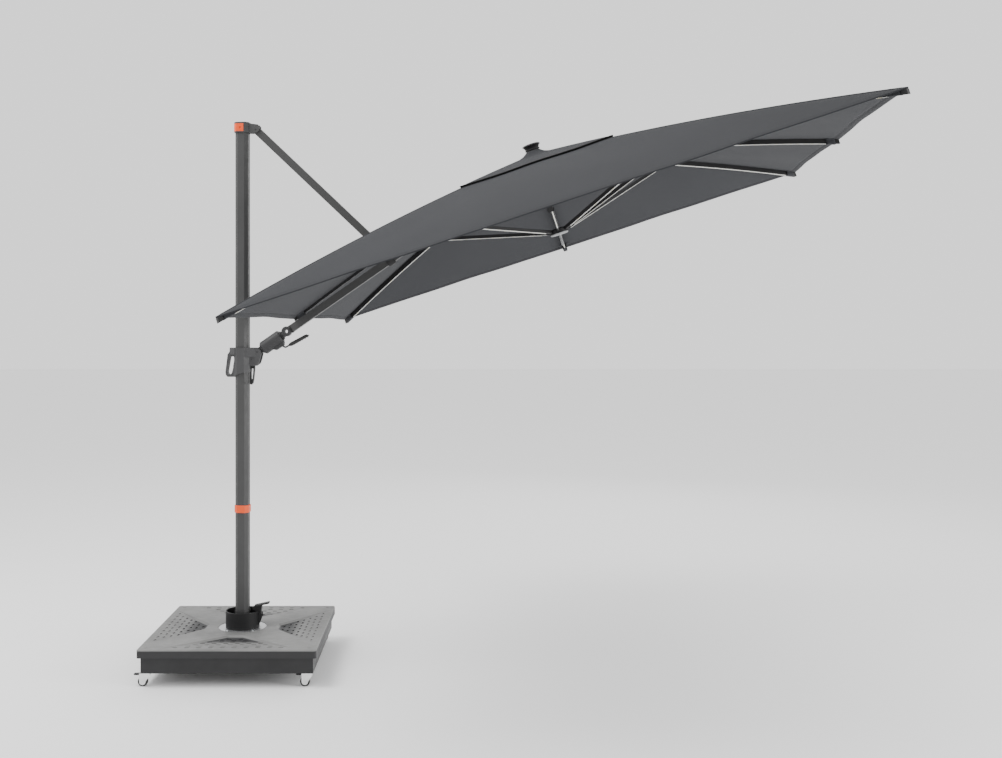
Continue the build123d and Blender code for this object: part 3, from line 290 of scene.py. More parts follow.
@dataclass(frozen=True)
class PowderCoat(Finish):
    """Fine-textured paint baked on metal."""

    roughness: float = 0.48
    texture: float = 900.0
    depth: float = 0.00006

    def build(self, shader: Shader) -> None:
        """Orange-peel bump, soft clouds and small rubbed patches."""
        place = shader.place()
        clouds = self.cloudy(shader, place, 7.0)
        peel = shader.noise(place, self.texture, 2.0)
        rubbed = shader.noise(place, 28.0, 5.0, 0.7)
        gloss = shader.fade(rubbed, 0.35, 0.75, self.roughness + 0.07, self.roughness - 0.08)
        shader.set(Roughness=gloss, Specular_IOR_Level=0.32)
        shader.bump(peel + clouds * 0.3, self.depth)


@dataclass(frozen=True)
class MouldedPlastic(Finish):
    """Moulded plastic with a spark-eroded grain."""

    roughness: float = 0.55
    grain: float = 620.0
    depth: float = 0.00008

    def build(self, shader: Shader) -> None:
        """Cell grain, flow marks, dust and a little scuffing."""
        place = shader.place()
        clouds = self.cloudy(shader, place, 5.0)
        cells = shader.node("ShaderNodeTexVoronoi", {"feature": "SMOOTH_F1"},
                            {"Vector": place, "Scale": self.grain})
        scuffs = shader.noise(shader.stretch(place, (22.0, 60.0, 30.0)), 1.0, 6.0, 0.72)
        gloss = shader.fade(scuffs, 0.4, 0.72, self.roughness + 0.06, self.roughness - 0.1)
        shader.set(Roughness=gloss, Specular_IOR_Level=0.3)
        shader.bump(cells + clouds * 0.2, self.depth)


@dataclass(frozen=True)
class LidPlastic(MouldedPlastic):
    """Grained lid whose sides below the rolled edge are smoother and painted dark as painted shade."""

    # painted shade: the dark colour given to the lid's sides below the rolled edge
    painted_side_shade: Colour = (0.02, 0.02, 0.02)
    level: float = 0.19
    dust: float = 0.25

    def build(self, shader: Shader) -> None:
        """Grey walked-on top; below the rolled edge the sides get a dark colour as painted shade."""
        super().build(shader)
        place = shader.place()
        _, _, height = shader.parts_of(place)
        worn = shader.noise(place, 3.2, 5.0, 0.6)
        low, high = scaled(self.colour, 1 - self.dust), scaled(self.colour, 1 + self.dust / 2)
        top = shader.between(shader.fade(worn, 0.3, 0.7), low, high)
        # painted shade: below the level the lid turns to the dark side colour, so its sides read as shaded
        shader.set(Base_Color=shader.between(shader.fade(height, self.level - 0.004, self.level), self.painted_side_shade, top))


@dataclass(frozen=True)
class BrushedMetal(Finish):
    """Drawn or brushed metal with streaks along one direction."""

    roughness: float = 0.3
    streaks: Point = (900.0, 900.0, 12.0)

    def build(self, shader: Shader) -> None:
        """Streaked gloss and a faint grain."""
        place = shader.place()
        self.cloudy(shader, place, 9.0)
        streak = shader.noise(shader.stretch(place, self.streaks), 1.0, 3.0, 0.6)
        gloss = shader.fade(streak, 0.3, 0.7, self.roughness - 0.08, self.roughness + 0.1)
        shader.set(Metallic=1.0, Roughness=gloss)
        shader.bump(streak, 0.00002)


@dataclass(frozen=True)
class Chrome(Finish):
    """Bright plating with finger marks."""

    roughness: float = 0.09

    def build(self, shader: Shader) -> None:
        """Mirror plating, dulled in soft patches."""
        place = shader.place()
        self.cloudy(shader, place, 30.0)
        marks = shader.noise(place, 55.0, 4.0, 0.65)
        shader.set(Metallic=1.0, Roughness=shader.fade(marks, 0.4, 0.75, self.roughness, self.roughness + 0.16))
        shader.bump(marks, 0.00003)


@dataclass(frozen=True)
class Rubber(Finish):
    """Matt tread rubber."""

    roughness: float = 0.82

    def build(self, shader: Shader) -> None:
        """Dusty clouds over a fine pitted skin."""
        place = shader.place()
        clouds = self.cloudy(shader, place, 35.0)
        pits = shader.noise(place, 1400.0, 2.0)
        shader.set(Roughness=shader.fade(clouds, 0.3, 0.7, self.roughness - 0.08, 0.95))
        shader.bump(pits, 0.0001)


@dataclass(frozen=True)
class CastStone(Finish):
    """Cast ballast with pores and sand."""

    roughness: float = 0.9

    def build(self, shader: Shader) -> None:
        """Sandy colour, pores and a rough skin."""
        place = shader.place()
        clouds = self.cloudy(shader, place, 12.0)
        sand = shader.noise(place, 260.0, 6.0, 0.7)
        pores = shader.node("ShaderNodeTexVoronoi", None, {"Vector": place, "Scale": 70.0})
        shader.set(Roughness=shader.fade(sand, 0.2, 0.8, 0.82, 0.98))
        shader.bump(sand + shader.fade(pores, 0.0, 0.25) * 2 + clouds, 0.0006)


@dataclass(frozen=True)
class SolarGlass(Finish):
    """Dark cell with thin collector lines under clear glass."""

    roughness: float = 0.2
    line_pitch: float = 0.0042

    def build(self, shader: Shader) -> None:
        """Fine pale lines over mottled silicon."""
        place = shader.place()
        _, across, _ = shader.parts_of(place)
        line = (across % self.line_pitch) < 0.0005
        crystals = shader.node("ShaderNodeTexVoronoi", None, {"Vector": place, "Scale": 160.0}, output="Color")
        mottled = shader.between(0.12, self.colour, crystals)
        dark = shader.between(0.75, mottled, self.colour)
        shader.set(Base_Color=shader.between(line, dark, linear("8d9096")), Coat_Weight=0.6, Coat_Roughness=0.06)
        shader.set(Roughness=shader.fade(line, 0.0, 1.0, self.roughness, 0.4))
        shader.bump(line, 0.00004)


@dataclass(frozen=True)
class LightStrip(Finish):
    """Milky cover over a row of small lamps, unlit."""

    roughness: float = 0.32
    lamp_pitch: float = 0.033

    def build(self, shader: Shader) -> None:
        """Milky plastic with a faint yellow spot over each lamp."""
        place = shader.place()
        along, across, height = shader.parts_of(place)
        repeat = (along + across * 0.7 + height * 0.4) % self.lamp_pitch
        lamp = abs(repeat - self.lamp_pitch / 2) < 0.0022
        haze = shader.noise(place, 90.0)
        milky = shader.between(shader.fade(haze, 0.3, 0.7), scaled(self.colour, 0.95), self.colour)
        shader.set(Base_Color=shader.between(lamp * 0.5, milky, linear("e8dfb0")), Coat_Weight=0.25)
        shader.set(Roughness=shader.fade(haze, 0.3, 0.7, self.roughness, self.roughness + 0.1))
        shader.bump(haze, 0.00005)


CHARCOAL_CLOTH = linear("303134")
EDGE_BLACK = linear("161617")
LID_EDGE = 0.006        # depth of the lid's rolled edge, below which the lid's sides are painted dark as painted shade

FINISHES: dict[str, Finish] = {
    # the lid: grey top, with painted shade on its sides below the rolled edge
    "base_plastic": LidPlastic(linear("727271"), 0.5, 0.06, painted_side_shade=linear("29292a"),
                               level=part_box("base_lid")[1].z - LID_EDGE),
    "tray": PowderCoat(linear("222223"), 0.42, 0.1),
    "steel_frame": PowderCoat(linear("232424"), 0.5),
    "ballast": CastStone(linear("6d6a66")),
    "bright_disc": BrushedMetal(linear("c9cacb"), 0.4, 0.05, streaks=(700.0, 14.0, 700.0)),
    "black_plastic": MouldedPlastic(linear("131314"), 0.5),
    "spindle_steel": BrushedMetal(linear("a5a6a7"), 0.3),
    "castor_chrome": Chrome(linear("d8d9d9"), 0.1, 0.05),
    "wheel_rubber": Rubber(linear("252524")),
    "bush": MouldedPlastic(linear("282827"), 0.4),
    "mast_paint": PowderCoat(linear("3c3c3c"), 0.46, 0.05),
    "orange": MouldedPlastic(linear("e2501c"), 0.42, 0.05),
    "pin_steel": PowderCoat(linear("262627"), 0.36, 0.1),
    "housing": MouldedPlastic(linear("3c3c3d"), 0.5, 0.06),
    "grip_black": Rubber(linear("1a1a1a"), 0.66),
    "barrel_paint": PowderCoat(linear("2e2e2f"), 0.44, 0.07),
    "pole_silver": BrushedMetal(linear("c2c3c4"), 0.26, 0.05),
    "rib_paint": PowderCoat(linear("151516"), 0.5, 0.1),
    "plate_grey": MouldedPlastic(linear("8b8c8d"), 0.5, 0.05),
    "light_strip": LightStrip(linear("d9d9d6")),
    "canopy_fabric": WovenFabric(CHARCOAL_CLOTH, variation=0.06),
    "solar_panel": SolarGlass(linear("0c0e13")),
}


class Trim(Enum):
    """Finishes of the pieces sewn or fixed on by hand."""

    SEAM = WovenFabric(scaled(CHARCOAL_CLOTH, 0.86), variation=0.07, stitch_rows=(-0.0042, 0.0042))
    HEM = WovenFabric(scaled(CHARCOAL_CLOTH, 0.9), variation=0.07, stitch_rows=(0.0225,))
    BINDING = WovenFabric(EDGE_BLACK, variation=0.1, pitch=0.0012, stitch_rows=(0.004,))
    SLEEVE = WovenFabric(scaled(CHARCOAL_CLOTH, 0.95), variation=0.08, stitch_rows=(0.006,))
    STEEL = BrushedMetal(linear("9ea0a2"), 0.3, 0.06)
    DARK_STEEL = PowderCoat(linear("262627"), 0.36, 0.1)


def trim_material(trim: Trim) -> bpy.types.Material:
    """Material of one trim finish, made once."""
    name = f"trim_{trim.name.lower()}"
    return bpy.data.materials.get(name) or trim.value.dress(name)


# ------------------------------------------------------------------ mesh building
WELD = 1e-6             # points nearer than this are one point
CREASE = radians(32)    # edges sharper than this stay crisp
AXIS_HOLE = 0.0003      # where a turned profile stops short of its axis


@dataclass
class MeshPiece:
    """Points, faces and flat cloth places of one piece while it is being built."""

    name: str
    points: list[Vector] = field(default_factory=list)
    faces: list[tuple[int, ...]] = field(default_factory=list)
    cut: list[tuple[float, float]] = field(default_factory=list)

    def grid(self, rows: Sequence[Sequence[Vector]], cut: Sequence[Sequence[tuple[float, float]]],
             closed: bool = False, skip: Callable[[int, int], bool] | None = None) -> None:
        """Add a net of four-sided faces.

        Args:
            rows: points, row by row, all rows of one length.
            cut: the flat cloth place of each point.
            closed: whether the rows join end to end.
            skip: tells by row and column which faces to leave out.
        """
        start, columns = len(self.points), len(rows[0])
        for row, places in zip(rows, cut):
            self.points.extend(row)
            self.cut.extend(places)
        last = columns if closed else columns - 1
        for i in range(len(rows) - 1):
            for j in range(last):
                if skip and skip(i, j):
                    continue
                here, right = start + i * columns + j, start + i * columns + (j + 1) % columns
                self.faces.append((here, right, right + columns, here + columns))

    def band(self, rows: Sequence[Sequence[Vector]], cut: Sequence[Sequence[tuple[float, float]]]) -> None:
        """Add a net closed both ways, such as a hem's or a binding's section run round a loop."""
        self.grid([*rows, rows[0]], [*cut, cut[0]], closed=True)

    def lathe(self, place: Callable[[float, float, float], Vector], profile: Sequence[tuple[float, float]],
              sides: int = 48) -> None:
        """Turn a closed profile of (radius, height) points about a local axis."""
        rows = [[place(r * cos(2 * pi * k / sides), r * sin(2 * pi * k / sides), z) for k in range(sides)]
                for r, z in profile]
        flat = [[(2 * pi * r * k / sides, z) for k in range(sides)] for r, z in profile]
        self.band(rows, flat)

    def make(self, body: str, material: bpy.types.Material,
             thickness: float = 0.0) -> bpy.types.Object:
        """Turn what was gathered into an object that rides on a body.

        Args:
            body: the body it moves with.
            material: its material.
            thickness: cloth thickness to give an open sheet.
        Returns:
            The finished piece.
        """
        mesh = bpy.data.meshes.new(self.name)
        mesh.from_pydata([tuple(p) for p in self.points], [], self.faces)
        layer = mesh.uv_layers.new(name="cut")
        for loop in mesh.loops:
            layer.data[loop.index].uv = self.cut[loop.vertex_index]
        mesh.materials.append(material)
        work = bmesh.new()
        work.from_mesh(mesh)
        bmesh.ops.remove_doubles(work, verts=work.verts, dist=WELD)
        loose = [v for v in work.verts if not v.link_faces]
        bmesh.ops.delete(work, geom=loose, context="VERTS")
        bmesh.ops.recalc_face_normals(work, faces=work.faces)
        for face in work.faces:
            face.smooth = True
        for edge in work.edges:
            if len(edge.link_faces) == 2 and edge.calc_face_angle(0.0) > CREASE:
                edge.smooth = False
        work.to_mesh(mesh)
        work.free()
        piece = bpy.data.objects.new(self.name, mesh)
        bpy.context.scene.collection.objects.link(piece)
        if thickness:
            solid = piece.modifiers.new("cloth", "SOLIDIFY")
            solid.thickness, solid.offset = thickness, 0.0
        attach(piece, body)
        LOG.info("%s rides on %s, %d faces", self.name, body, len(self.faces))
        return piece


# ------------------------------------------------------------------ canopy
@dataclass
class CanopyShape:
    """The canopy's own frame and the surface that its cloth follows."""

    rise: float = 0.42
    bow: float = 0.25
    pole_below: float = 0.077
    sag: float = 0.010
    ripple: float = 0.0016
    up: Vector = field(init=False)
    origin: Vector = field(init=False)
    x: Vector = field(init=False)
    y: Vector = field(init=False)
    half_length: float = field(init=False)
    half_width: float = field(init=False)

    def __post_init__(self) -> None:
        """Take the frame's axes and the cover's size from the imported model."""
        record = frame["record"]
        mount = next(m for m in record["mounts"] if m["name"] == "pole_end")
        tilt = next(j for j in frame["joints"] if j["name"] == "side_tilt")
        self.up = -Vector(mount["axis"]).normalized()
        self.origin = Vector(mount["pos_m"]) + self.up * self.pole_below
        along = Vector(tilt["axis"])
        self.x = (along - self.up * along.dot(self.up)).normalized()
        self.y = self.up.cross(self.x)
        cover = [v.co - self.origin for v in frame["nodes"]["canopy_cover"].data.vertices]
        self.half_length = max(p.dot(self.x) for p in cover)
        self.half_width = max(p.dot(self.y) for p in cover)

    def point(self, u: float, v: float, w: float) -> Vector:
        """Place of a point given along, across and above the eaves' plane."""
        return self.origin + self.x * u + self.y * v + self.up * w

    def height(self, share: float) -> float:
        """Height of the ribs' line above the eaves, share of the way from crown to eaves."""
        return self.rise * (1 - share) * (1 + self.bow * share)

    def surface(self, u: float, v: float) -> float:
        """Height of the stretched cloth at a place in plan, with its sag between ribs."""
        along, across = abs(u) / self.half_length, abs(v) / self.half_width
        share = max(along, across, 1e-6)
        turn = min(along, across) / share
        between = sin(pi * turn) ** 2
        pull = self.sag * between * min(1.0, 1.6 * share) * (1.15 - 0.55 * share)
        fold = self.ripple * between * sin(21 * atan2(v, u) + 3.0 * share) * share ** 2
        return self.height(share) - pull + fold

    def eave(self, side: int, t: float, pull: float = 0.0) -> tuple[float, float]:
        """Place in plan on one side of the eaves.

        Args:
            side: 0 uphill, then 1, 2 and 3 counter-clockwise.
            t: from -1 at the side's first corner to 1 at its last.
            pull: how far the cloth's edge draws in between ribs.
        Returns:
            Along and across.
        """
        drawn = pull * sin(pi * t) ** 2
        reach = (self.half_length, self.half_width)[side % 2] - drawn
        half = (self.half_width, self.half_length)[side % 2]
        u, v = reach, t * half
        for _ in range(side):
            u, v = -v, u
        return u, v

    def spoke(self, side: int, t: float) -> tuple[float, float, float]:
        """Length and direction in plan of the line from the crown to a place on the eaves."""
        u, v = self.eave(side, t)
        reach = hypot(u, v)
        return reach, u / reach, v / reach

    def section(self, run: float, du: float, dv: float, offsets: Sequence[float]) -> list[tuple[float, float]]:
        """Places in plan across a spoke, run out from the crown and offset to either side."""
        return [(du * run - dv * off, dv * run + du * off) for off in offsets]


@dataclass
class CoverSheet:
    """The main cover: one sheet from the vent opening to the eaves, with the strut's opening."""

    shape: CanopyShape
    inner: float = 0.19
    columns: int = 32
    rings: int = 26
    thickness: float = 0.0013
    edge_pull: float = 0.020
    under_top: float = 0.0008
    slot_near: float = 0.853
    slot_far: float = 0.975
    slot_half: float = 0.033

    def side_places(self, side: int) -> list[float]:
        """Columns of one side, from -1 to just before 1, with lines at the opening's edges."""
        places = [-1 + 2 * k / self.columns for k in range(self.columns)]
        if side == 2:
            share = (self.slot_near + self.slot_far) / 2 / self.shape.half_length
            edge = self.slot_half / share / self.shape.half_width
            places = sorted([*places, -edge, edge])
        return places

    def shares(self) -> list[float]:
        """Rings from crown to eaves, with lines at the opening's ends."""
        even = [self.inner + (1 - self.inner) * k / self.rings for k in range(self.rings + 1)]
        ends = [self.slot_near / self.shape.half_length, self.slot_far / self.shape.half_length]
        kept = [s for s in even if all(abs(s - e) > 0.008 for e in ends)]
        return sorted([*kept, *ends])

    def plan(self, side: int, t: float, share: float) -> tuple[float, float]:
        """Place in plan at a share of the way out, with the edge drawn in near the eaves."""
        near_edge = max(0.0, (share - 0.55) / 0.45) ** 2
        u, v = self.shape.eave(side, t, self.edge_pull * near_edge)
        return u * share, v * share

    def build(self) -> bpy.types.Object:
        """Make the sheet.

        Returns:
            The cover sheet.
        """
        piece = MeshPiece("cover_sheet")
        columns = [(side, t) for side in range(4) for t in self.side_places(side)]
        edge = self.side_places(2)[self.columns // 2], self.side_places(2)[self.columns // 2 + 2]
        shares = self.shares()
        near, far = (shares.index(s / self.shape.half_length) for s in (self.slot_near, self.slot_far))
        rows, cut = [], []
        for share in shares:
            plans = [self.plan(side, t, share) for side, t in columns]
            rows.append([self.shape.point(u, v, self.shape.surface(u, v) - self.under_top) for u, v in plans])
            cut.append(plans)

        def opening(i: int, j: int) -> bool:
            """Whether a face lies in the strut's opening."""
            side, t = columns[j]
            return near <= i < far and side == 2 and edge[0] <= t < edge[1] - 1e-9

        piece.grid(rows, cut, closed=True, skip=opening)
        made = piece.make("canopy_unit", frame["nodes"]["canopy_cover"].data.materials[0],
                          self.thickness)
        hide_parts("canopy_cover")
        full = 4 * self.shape.half_length * self.shape.half_width
        2 * self.shape.half_length
        2 * self.shape.half_width
        round(full * (1 - self.inner ** 2), 3)
        return made


@dataclass
class CoverTrim:
    """Seams, hems, sleeves and bindings sewn to the cover."""

    cover: CoverSheet
    seam_width: float = 0.014
    seam_stand: float = 0.0011
    seam_sunk: float = 0.0009
    seam_fold: float = 0.0005
    seam_end: float = 0.988
    seam_steps: int = 48
    hem_width: float = 0.028
    hem_stand: float = 0.0010
    lip: float = 0.0048
    sleeve_start: float = 0.956
    sleeve_end: float = 0.984
    sleeve_half: float = 0.0138
    sleeve_depth: float = 0.0305
    sleeve_wing: float = 0.030
    sleeve_steps: int = 8
    binding: float = 0.010
    binding_top: float = 0.0016
    binding_under: float = 0.0028
    binding_down: float = 0.0004
    binding_step: float = 0.02
    tape_share: float = 0.022
    tape_top: float = 0.0012
    tape_under: float = 0.0016
    tape_step: float = 0.04

    def build(self) -> None:
        """Make every sewn-on part."""
        self.seams()
        self.hem()
        self.sleeves()
        self.slot_binding()
        self.opening_tape()

    def seams(self) -> None:
        """Double-stitched seam on each ridge from the vent to its corner."""
        shape, half = self.cover.shape, self.seam_width / 2
        piece = MeshPiece("ridge_seams")
        for corner in range(4):
            reach, du, dv = shape.spoke(corner, 1.0)
            fold = half - self.seam_fold
            offsets = (-half, -fold, -half / 2, 0.0, half / 2, fold, half)
            rows, cut = [], []
            for k in range(self.seam_steps + 1):
                share = self.cover.inner + (self.seam_end - self.cover.inner) * k / self.seam_steps
                run = reach * share
                stands = (-self.seam_sunk, *[self.seam_stand] * (len(offsets) - 2), -self.seam_sunk)
                rows.append([shape.point(u, v, shape.surface(u, v) + stand)
                             for (u, v), stand in zip(shape.section(run, du, dv, offsets), stands)])
                cut.append([(run, off) for off in offsets])
            piece.grid(rows, cut)
        piece.make("canopy_unit", trim_material(Trim.SEAM), 0.0006)

    def hem(self) -> None:
        """Folded and stitched hem all round the eaves."""
        shape, cover = self.cover.shape, self.cover
        stations = ((self.hem_width, -0.0008), (self.hem_width - 0.0006, self.hem_stand), (0.014, self.hem_stand),
                    (0.001, self.hem_stand), (-0.0009, 0.0), (-0.0012, -self.lip / 2), (-0.0006, -self.lip),
                    (0.001, -self.lip - 0.0004), (0.014, -self.lip * 0.72), (self.hem_width - 0.002, -0.0024),
                    (self.hem_width, -0.0016))
        columns = [(side, t) for side in range(4) for t in cover.side_places(side)]
        rows, cut = [], []
        lengths = self.edge_lengths(columns)
        for inset, stand in stations:
            row = []
            for side, t in columns:
                out_u, out_v = cover.plan(side, t, 1.0)
                share = 1 - inset / (shape.half_length, shape.half_width)[side % 2]
                inside = min(share, 1.0)
                level = shape.surface(out_u * inside, out_v * inside)
                row.append(shape.point(out_u * share, out_v * share, level + stand))
            rows.append(row)
            cut.append([(along, inset) for along in lengths])
        piece = MeshPiece("eave_hem")
        piece.band(rows, cut)
        piece.make("canopy_unit", trim_material(Trim.HEM))

    def edge_lengths(self, columns: Sequence[tuple[int, float]]) -> list[float]:
        """Distance along the eaves to each column."""
        lengths, total, last = [], 0.0, None
        for side, t in columns:
            here = self.cover.plan(side, t, 1.0)
            if last is not None:
                total += hypot(here[0] - last[0], here[1] - last[1])
            lengths.append(total)
            last = here
        return lengths

    def sleeves(self) -> None:
        """Cloth sleeve under the cover at the end of each rib."""
        shape = self.cover.shape
        half, deep, wing = self.sleeve_half, self.sleeve_depth, self.sleeve_wing
        section = ((-wing, -0.0022), (-half - 0.004, -0.0032), (-half, -0.008), (-half, -deep + 0.003),
                   (-half + 0.003, -deep), (0.0, -deep - 0.0008), (half - 0.003, -deep), (half, -deep + 0.003),
                   (half, -0.008), (half + 0.004, -0.0032), (wing, -0.0022))
        piece = MeshPiece("rib_sleeves")
        for side in range(4):
            for t in (0.0, 1.0):
                reach, du, dv = shape.spoke(side, t)
                rows, cut = [], []
                for k in range(self.sleeve_steps + 1):
                    share = self.sleeve_start + (self.sleeve_end - self.sleeve_start) * k / self.sleeve_steps
                    run = reach * share
                    row = []
                    places = shape.section(run, du, dv, [off for off, _ in section])
                    for (off, down), (u, v) in zip(section, places):
                        wing_part = abs(off) > half + 0.001
                        top = shape.surface(u, v) if wing_part else shape.height(share)
                        row.append(shape.point(u, v, top + down))
                    rows.append(row)
                    cut.append([(off, run - reach * self.sleeve_start) for off, _ in section])
                piece.grid(rows, cut)
        piece.make("canopy_unit", trim_material(Trim.SLEEVE), 0.0009)

    def slot_binding(self) -> None:
        """Dark binding round the opening for the strut."""
        cover, shape = self.cover, self.cover.shape
        near, far = -cover.slot_near, -cover.slot_far
        loop = [(near, t) for t in (-1.0, -0.5, 0.0, 0.5)] + [(near + (far - near) * k / 6, 1.0) for k in range(6)]
        loop += [(far, t) for t in (1.0, 0.5, 0.0, -0.5)] + [(far + (near - far) * k / 6, -1.0) for k in range(6)]
        middle = (near + far) / 2
        section = ((0.0, 0.0), (0.0, self.binding_top), (self.binding, self.binding_top),
                   (self.binding + 0.001, 0.0), (self.binding, -self.binding_under), (0.0, -self.binding_under))
        rows, cut = [], []
        for out, stand in section:
            row = []
            for u, t in loop:
                v = t * cover.slot_half * abs(u) / abs(middle)
                grown_u = u + (out if u > middle else -out)
                grown_v = v + (out if v > 0 else -out) * (1.0 if abs(t) == 1.0 else abs(t))
                level = shape.surface(grown_u, grown_v) + stand - self.binding_down
                row.append(shape.point(grown_u, grown_v, level))
            rows.append(row)
            cut.append([(self.binding_step * k, out) for k in range(len(loop))])
        piece = MeshPiece("slot_binding")
        piece.band(rows, cut)
        piece.make("canopy_unit", trim_material(Trim.BINDING))

    def opening_tape(self) -> None:
        """Webbing tape round the vent opening, under the vent cover."""
        shape, cover = self.cover.shape, self.cover
        columns = [(side, -1 + k / 6) for side in range(4) for k in range(12)]
        rows, cut = [], []
        top, under, wide = self.tape_top, -self.tape_under, self.tape_share
        for grow, stand in ((0.0, under), (0.0, top), (wide, top), (wide, under)):
            row = []
            for side, t in columns:
                u, v = shape.eave(side, t)
                u, v = u * (cover.inner + grow), v * (cover.inner + grow)
                row.append(shape.point(u, v, shape.surface(u, v) + stand))
            rows.append(row)
            cut.append([(self.tape_step * k, grow) for k in range(len(columns))])
        piece = MeshPiece("opening_tape")
        piece.band(rows, cut)
        piece.make("canopy_unit", trim_material(Trim.BINDING))


@dataclass
class VentSheet:
    """The small raised cover over the vent, drawn up to the finial's neck."""

    shape: CanopyShape
    outer: float = 0.266
    lift: float = 0.009
    neck: float = 0.0355
    cone_radius: float = 0.115
    cone_rise: float = 0.024
    columns: int = 24
    rings: int = 14
    thickness: float = 0.0012
    ring_spread: float = 1.25
    under_top: float = 0.0008
    edge_pull: float = 0.006
    edge_width: float = 0.013
    edge_height: float = 0.0055
    cloth_step: float = 0.033

    def level(self, u: float, v: float) -> float:
        """Height of the vent cloth at a place in plan."""
        inside = max(0.0, 1 - (hypot(u, v) - self.neck) / (self.cone_radius - self.neck))
        return self.shape.surface(u, v) + self.lift - self.under_top + self.cone_rise * min(1.0, inside) ** 2

    def plan(self, side: int, t: float, share: float) -> tuple[float, float]:
        """Place in plan, share of the way from the round neck to the square edge."""
        u, v = self.shape.eave(side, t, self.edge_pull / self.outer)
        edge_u, edge_v = u * self.outer, v * self.outer
        reach = hypot(edge_u, edge_v)
        in_u, in_v = edge_u / reach * self.neck, edge_v / reach * self.neck
        return in_u + (edge_u - in_u) * share, in_v + (edge_v - in_v) * share

    def build(self) -> None:
        """Make the vent sheet and the binding at its edge."""
        shape = self.shape
        columns = [(side, -1 + 2 * k / self.columns) for side in range(4) for k in range(self.columns)]
        rows, cut = [], []
        for k in range(self.rings + 1):
            plans = [self.plan(side, t, (k / self.rings) ** self.ring_spread) for side, t in columns]
            rows.append([shape.point(u, v, self.level(u, v)) for u, v in plans])
            cut.append(plans)
        piece = MeshPiece("vent_sheet")
        piece.grid(rows, cut, closed=True)
        made = piece.make("canopy_unit", frame["nodes"]["vent_cover"].data.materials[0],
                          self.thickness)
        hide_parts("vent_cover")
        flat = 2 * shape.half_length * self.outer, 2 * shape.half_width * self.outer
        self.edge_binding(columns)

    def edge_binding(self, columns: Sequence[tuple[int, float]]) -> None:
        """Thick dark binding folded over the vent's edge."""
        wide, high = self.edge_width, self.edge_height / 2
        section = ((-wide, 0.0008), (-wide, high * 0.5), (-wide * 0.5, high), (-0.001, high), (0.001, high * 0.5),
                   (0.0015, 0.0), (0.001, -high * 0.5), (-0.001, -high), (-wide * 0.5, -high), (-wide, -high * 0.5))
        rows, cut = [], []
        for out, stand in section:
            row = []
            for side, t in columns:
                u, v = self.plan(side, t, 1.0)
                grow = 1 + out / (self.outer * (self.shape.half_length, self.shape.half_width)[side % 2])
                row.append(self.shape.point(u * grow, v * grow, self.level(u * grow, v * grow) + stand))
            rows.append(row)
            cut.append([(self.cloth_step * k, out + wide) for k in range(len(columns))])
        piece = MeshPiece("vent_binding")
        piece.band(rows, cut)
        piece.make("canopy_unit", trim_material(Trim.BINDING))


@dataclass
class FinialTrim:
    """Cells on the solar panel and the seat ring round the finial's neck."""

    shape: CanopyShape
    cell: float = 0.0168
    gap: float = 0.0012
    cells_out: int = 2
    clip_radius: float = 0.043
    stand: float = 0.0004
    sunk: float = 0.0006
    ring_radius: float = 0.0352
    ring_width: float = 0.0045
    ring_up: float = 0.030
    ring_height: float = 0.005
    ring_ease: float = 0.001

    def build(self) -> None:
        """Make the cells and the ring."""
        top = max((v.co - self.shape.origin).dot(self.shape.up)
                  for v in frame["nodes"]["finial_panel"].data.vertices)
        self.cells(top)
        low = self.shape.rise + self.ring_up
        piece = MeshPiece("neck_ring")
        r0, r1 = self.ring_radius, self.ring_radius + self.ring_width
        ease, high = self.ring_ease, low + self.ring_height
        piece.lathe(self.shape.point, ((r0, low), (r1 - ease, low), (r1, low + ease), (r1, high - ease),
                                       (r1 - ease, high), (r0, high)), 40)
        piece.make("canopy_unit", trim_material(Trim.DARK_STEEL))

    def cells(self, top: float) -> None:
        """Square cells with clipped corners, laid in a round field."""
        piece = MeshPiece("solar_cells")
        pitch, half, clip = self.cell + self.gap, self.cell / 2, self.cell / 6
        outline = ((half, -half + clip), (half, half - clip), (half - clip, half), (-half + clip, half),
                   (-half, half - clip), (-half, -half + clip), (-half + clip, -half), (half - clip, -half))
        steps = range(-self.cells_out, self.cells_out + 1)
        for i in steps:
            for j in steps:
                u, v = i * pitch, j * pitch
                if hypot(abs(u) + half, abs(v) + half) > self.clip_radius:
                    continue
                start = len(piece.points)
                for level in (top - self.sunk, top + self.stand):
                    piece.points += [self.shape.point(u + du, v + dv, level) for du, dv in outline]
                    piece.cut += [(u + du, v + dv) for du, dv in outline]
                count = len(outline)
                piece.faces += [(start + k, start + (k + 1) % count, start + count + (k + 1) % count,
                                 start + count + k) for k in range(count)]
                piece.faces.append(tuple(start + count + k for k in range(count)))
                piece.faces.append(tuple(start + count - 1 - k for k in range(count)))
        glass = SolarGlass(linear("151a28"), line_pitch=0.0028)
        piece.make("canopy_unit", glass.dress("cell_glass"))


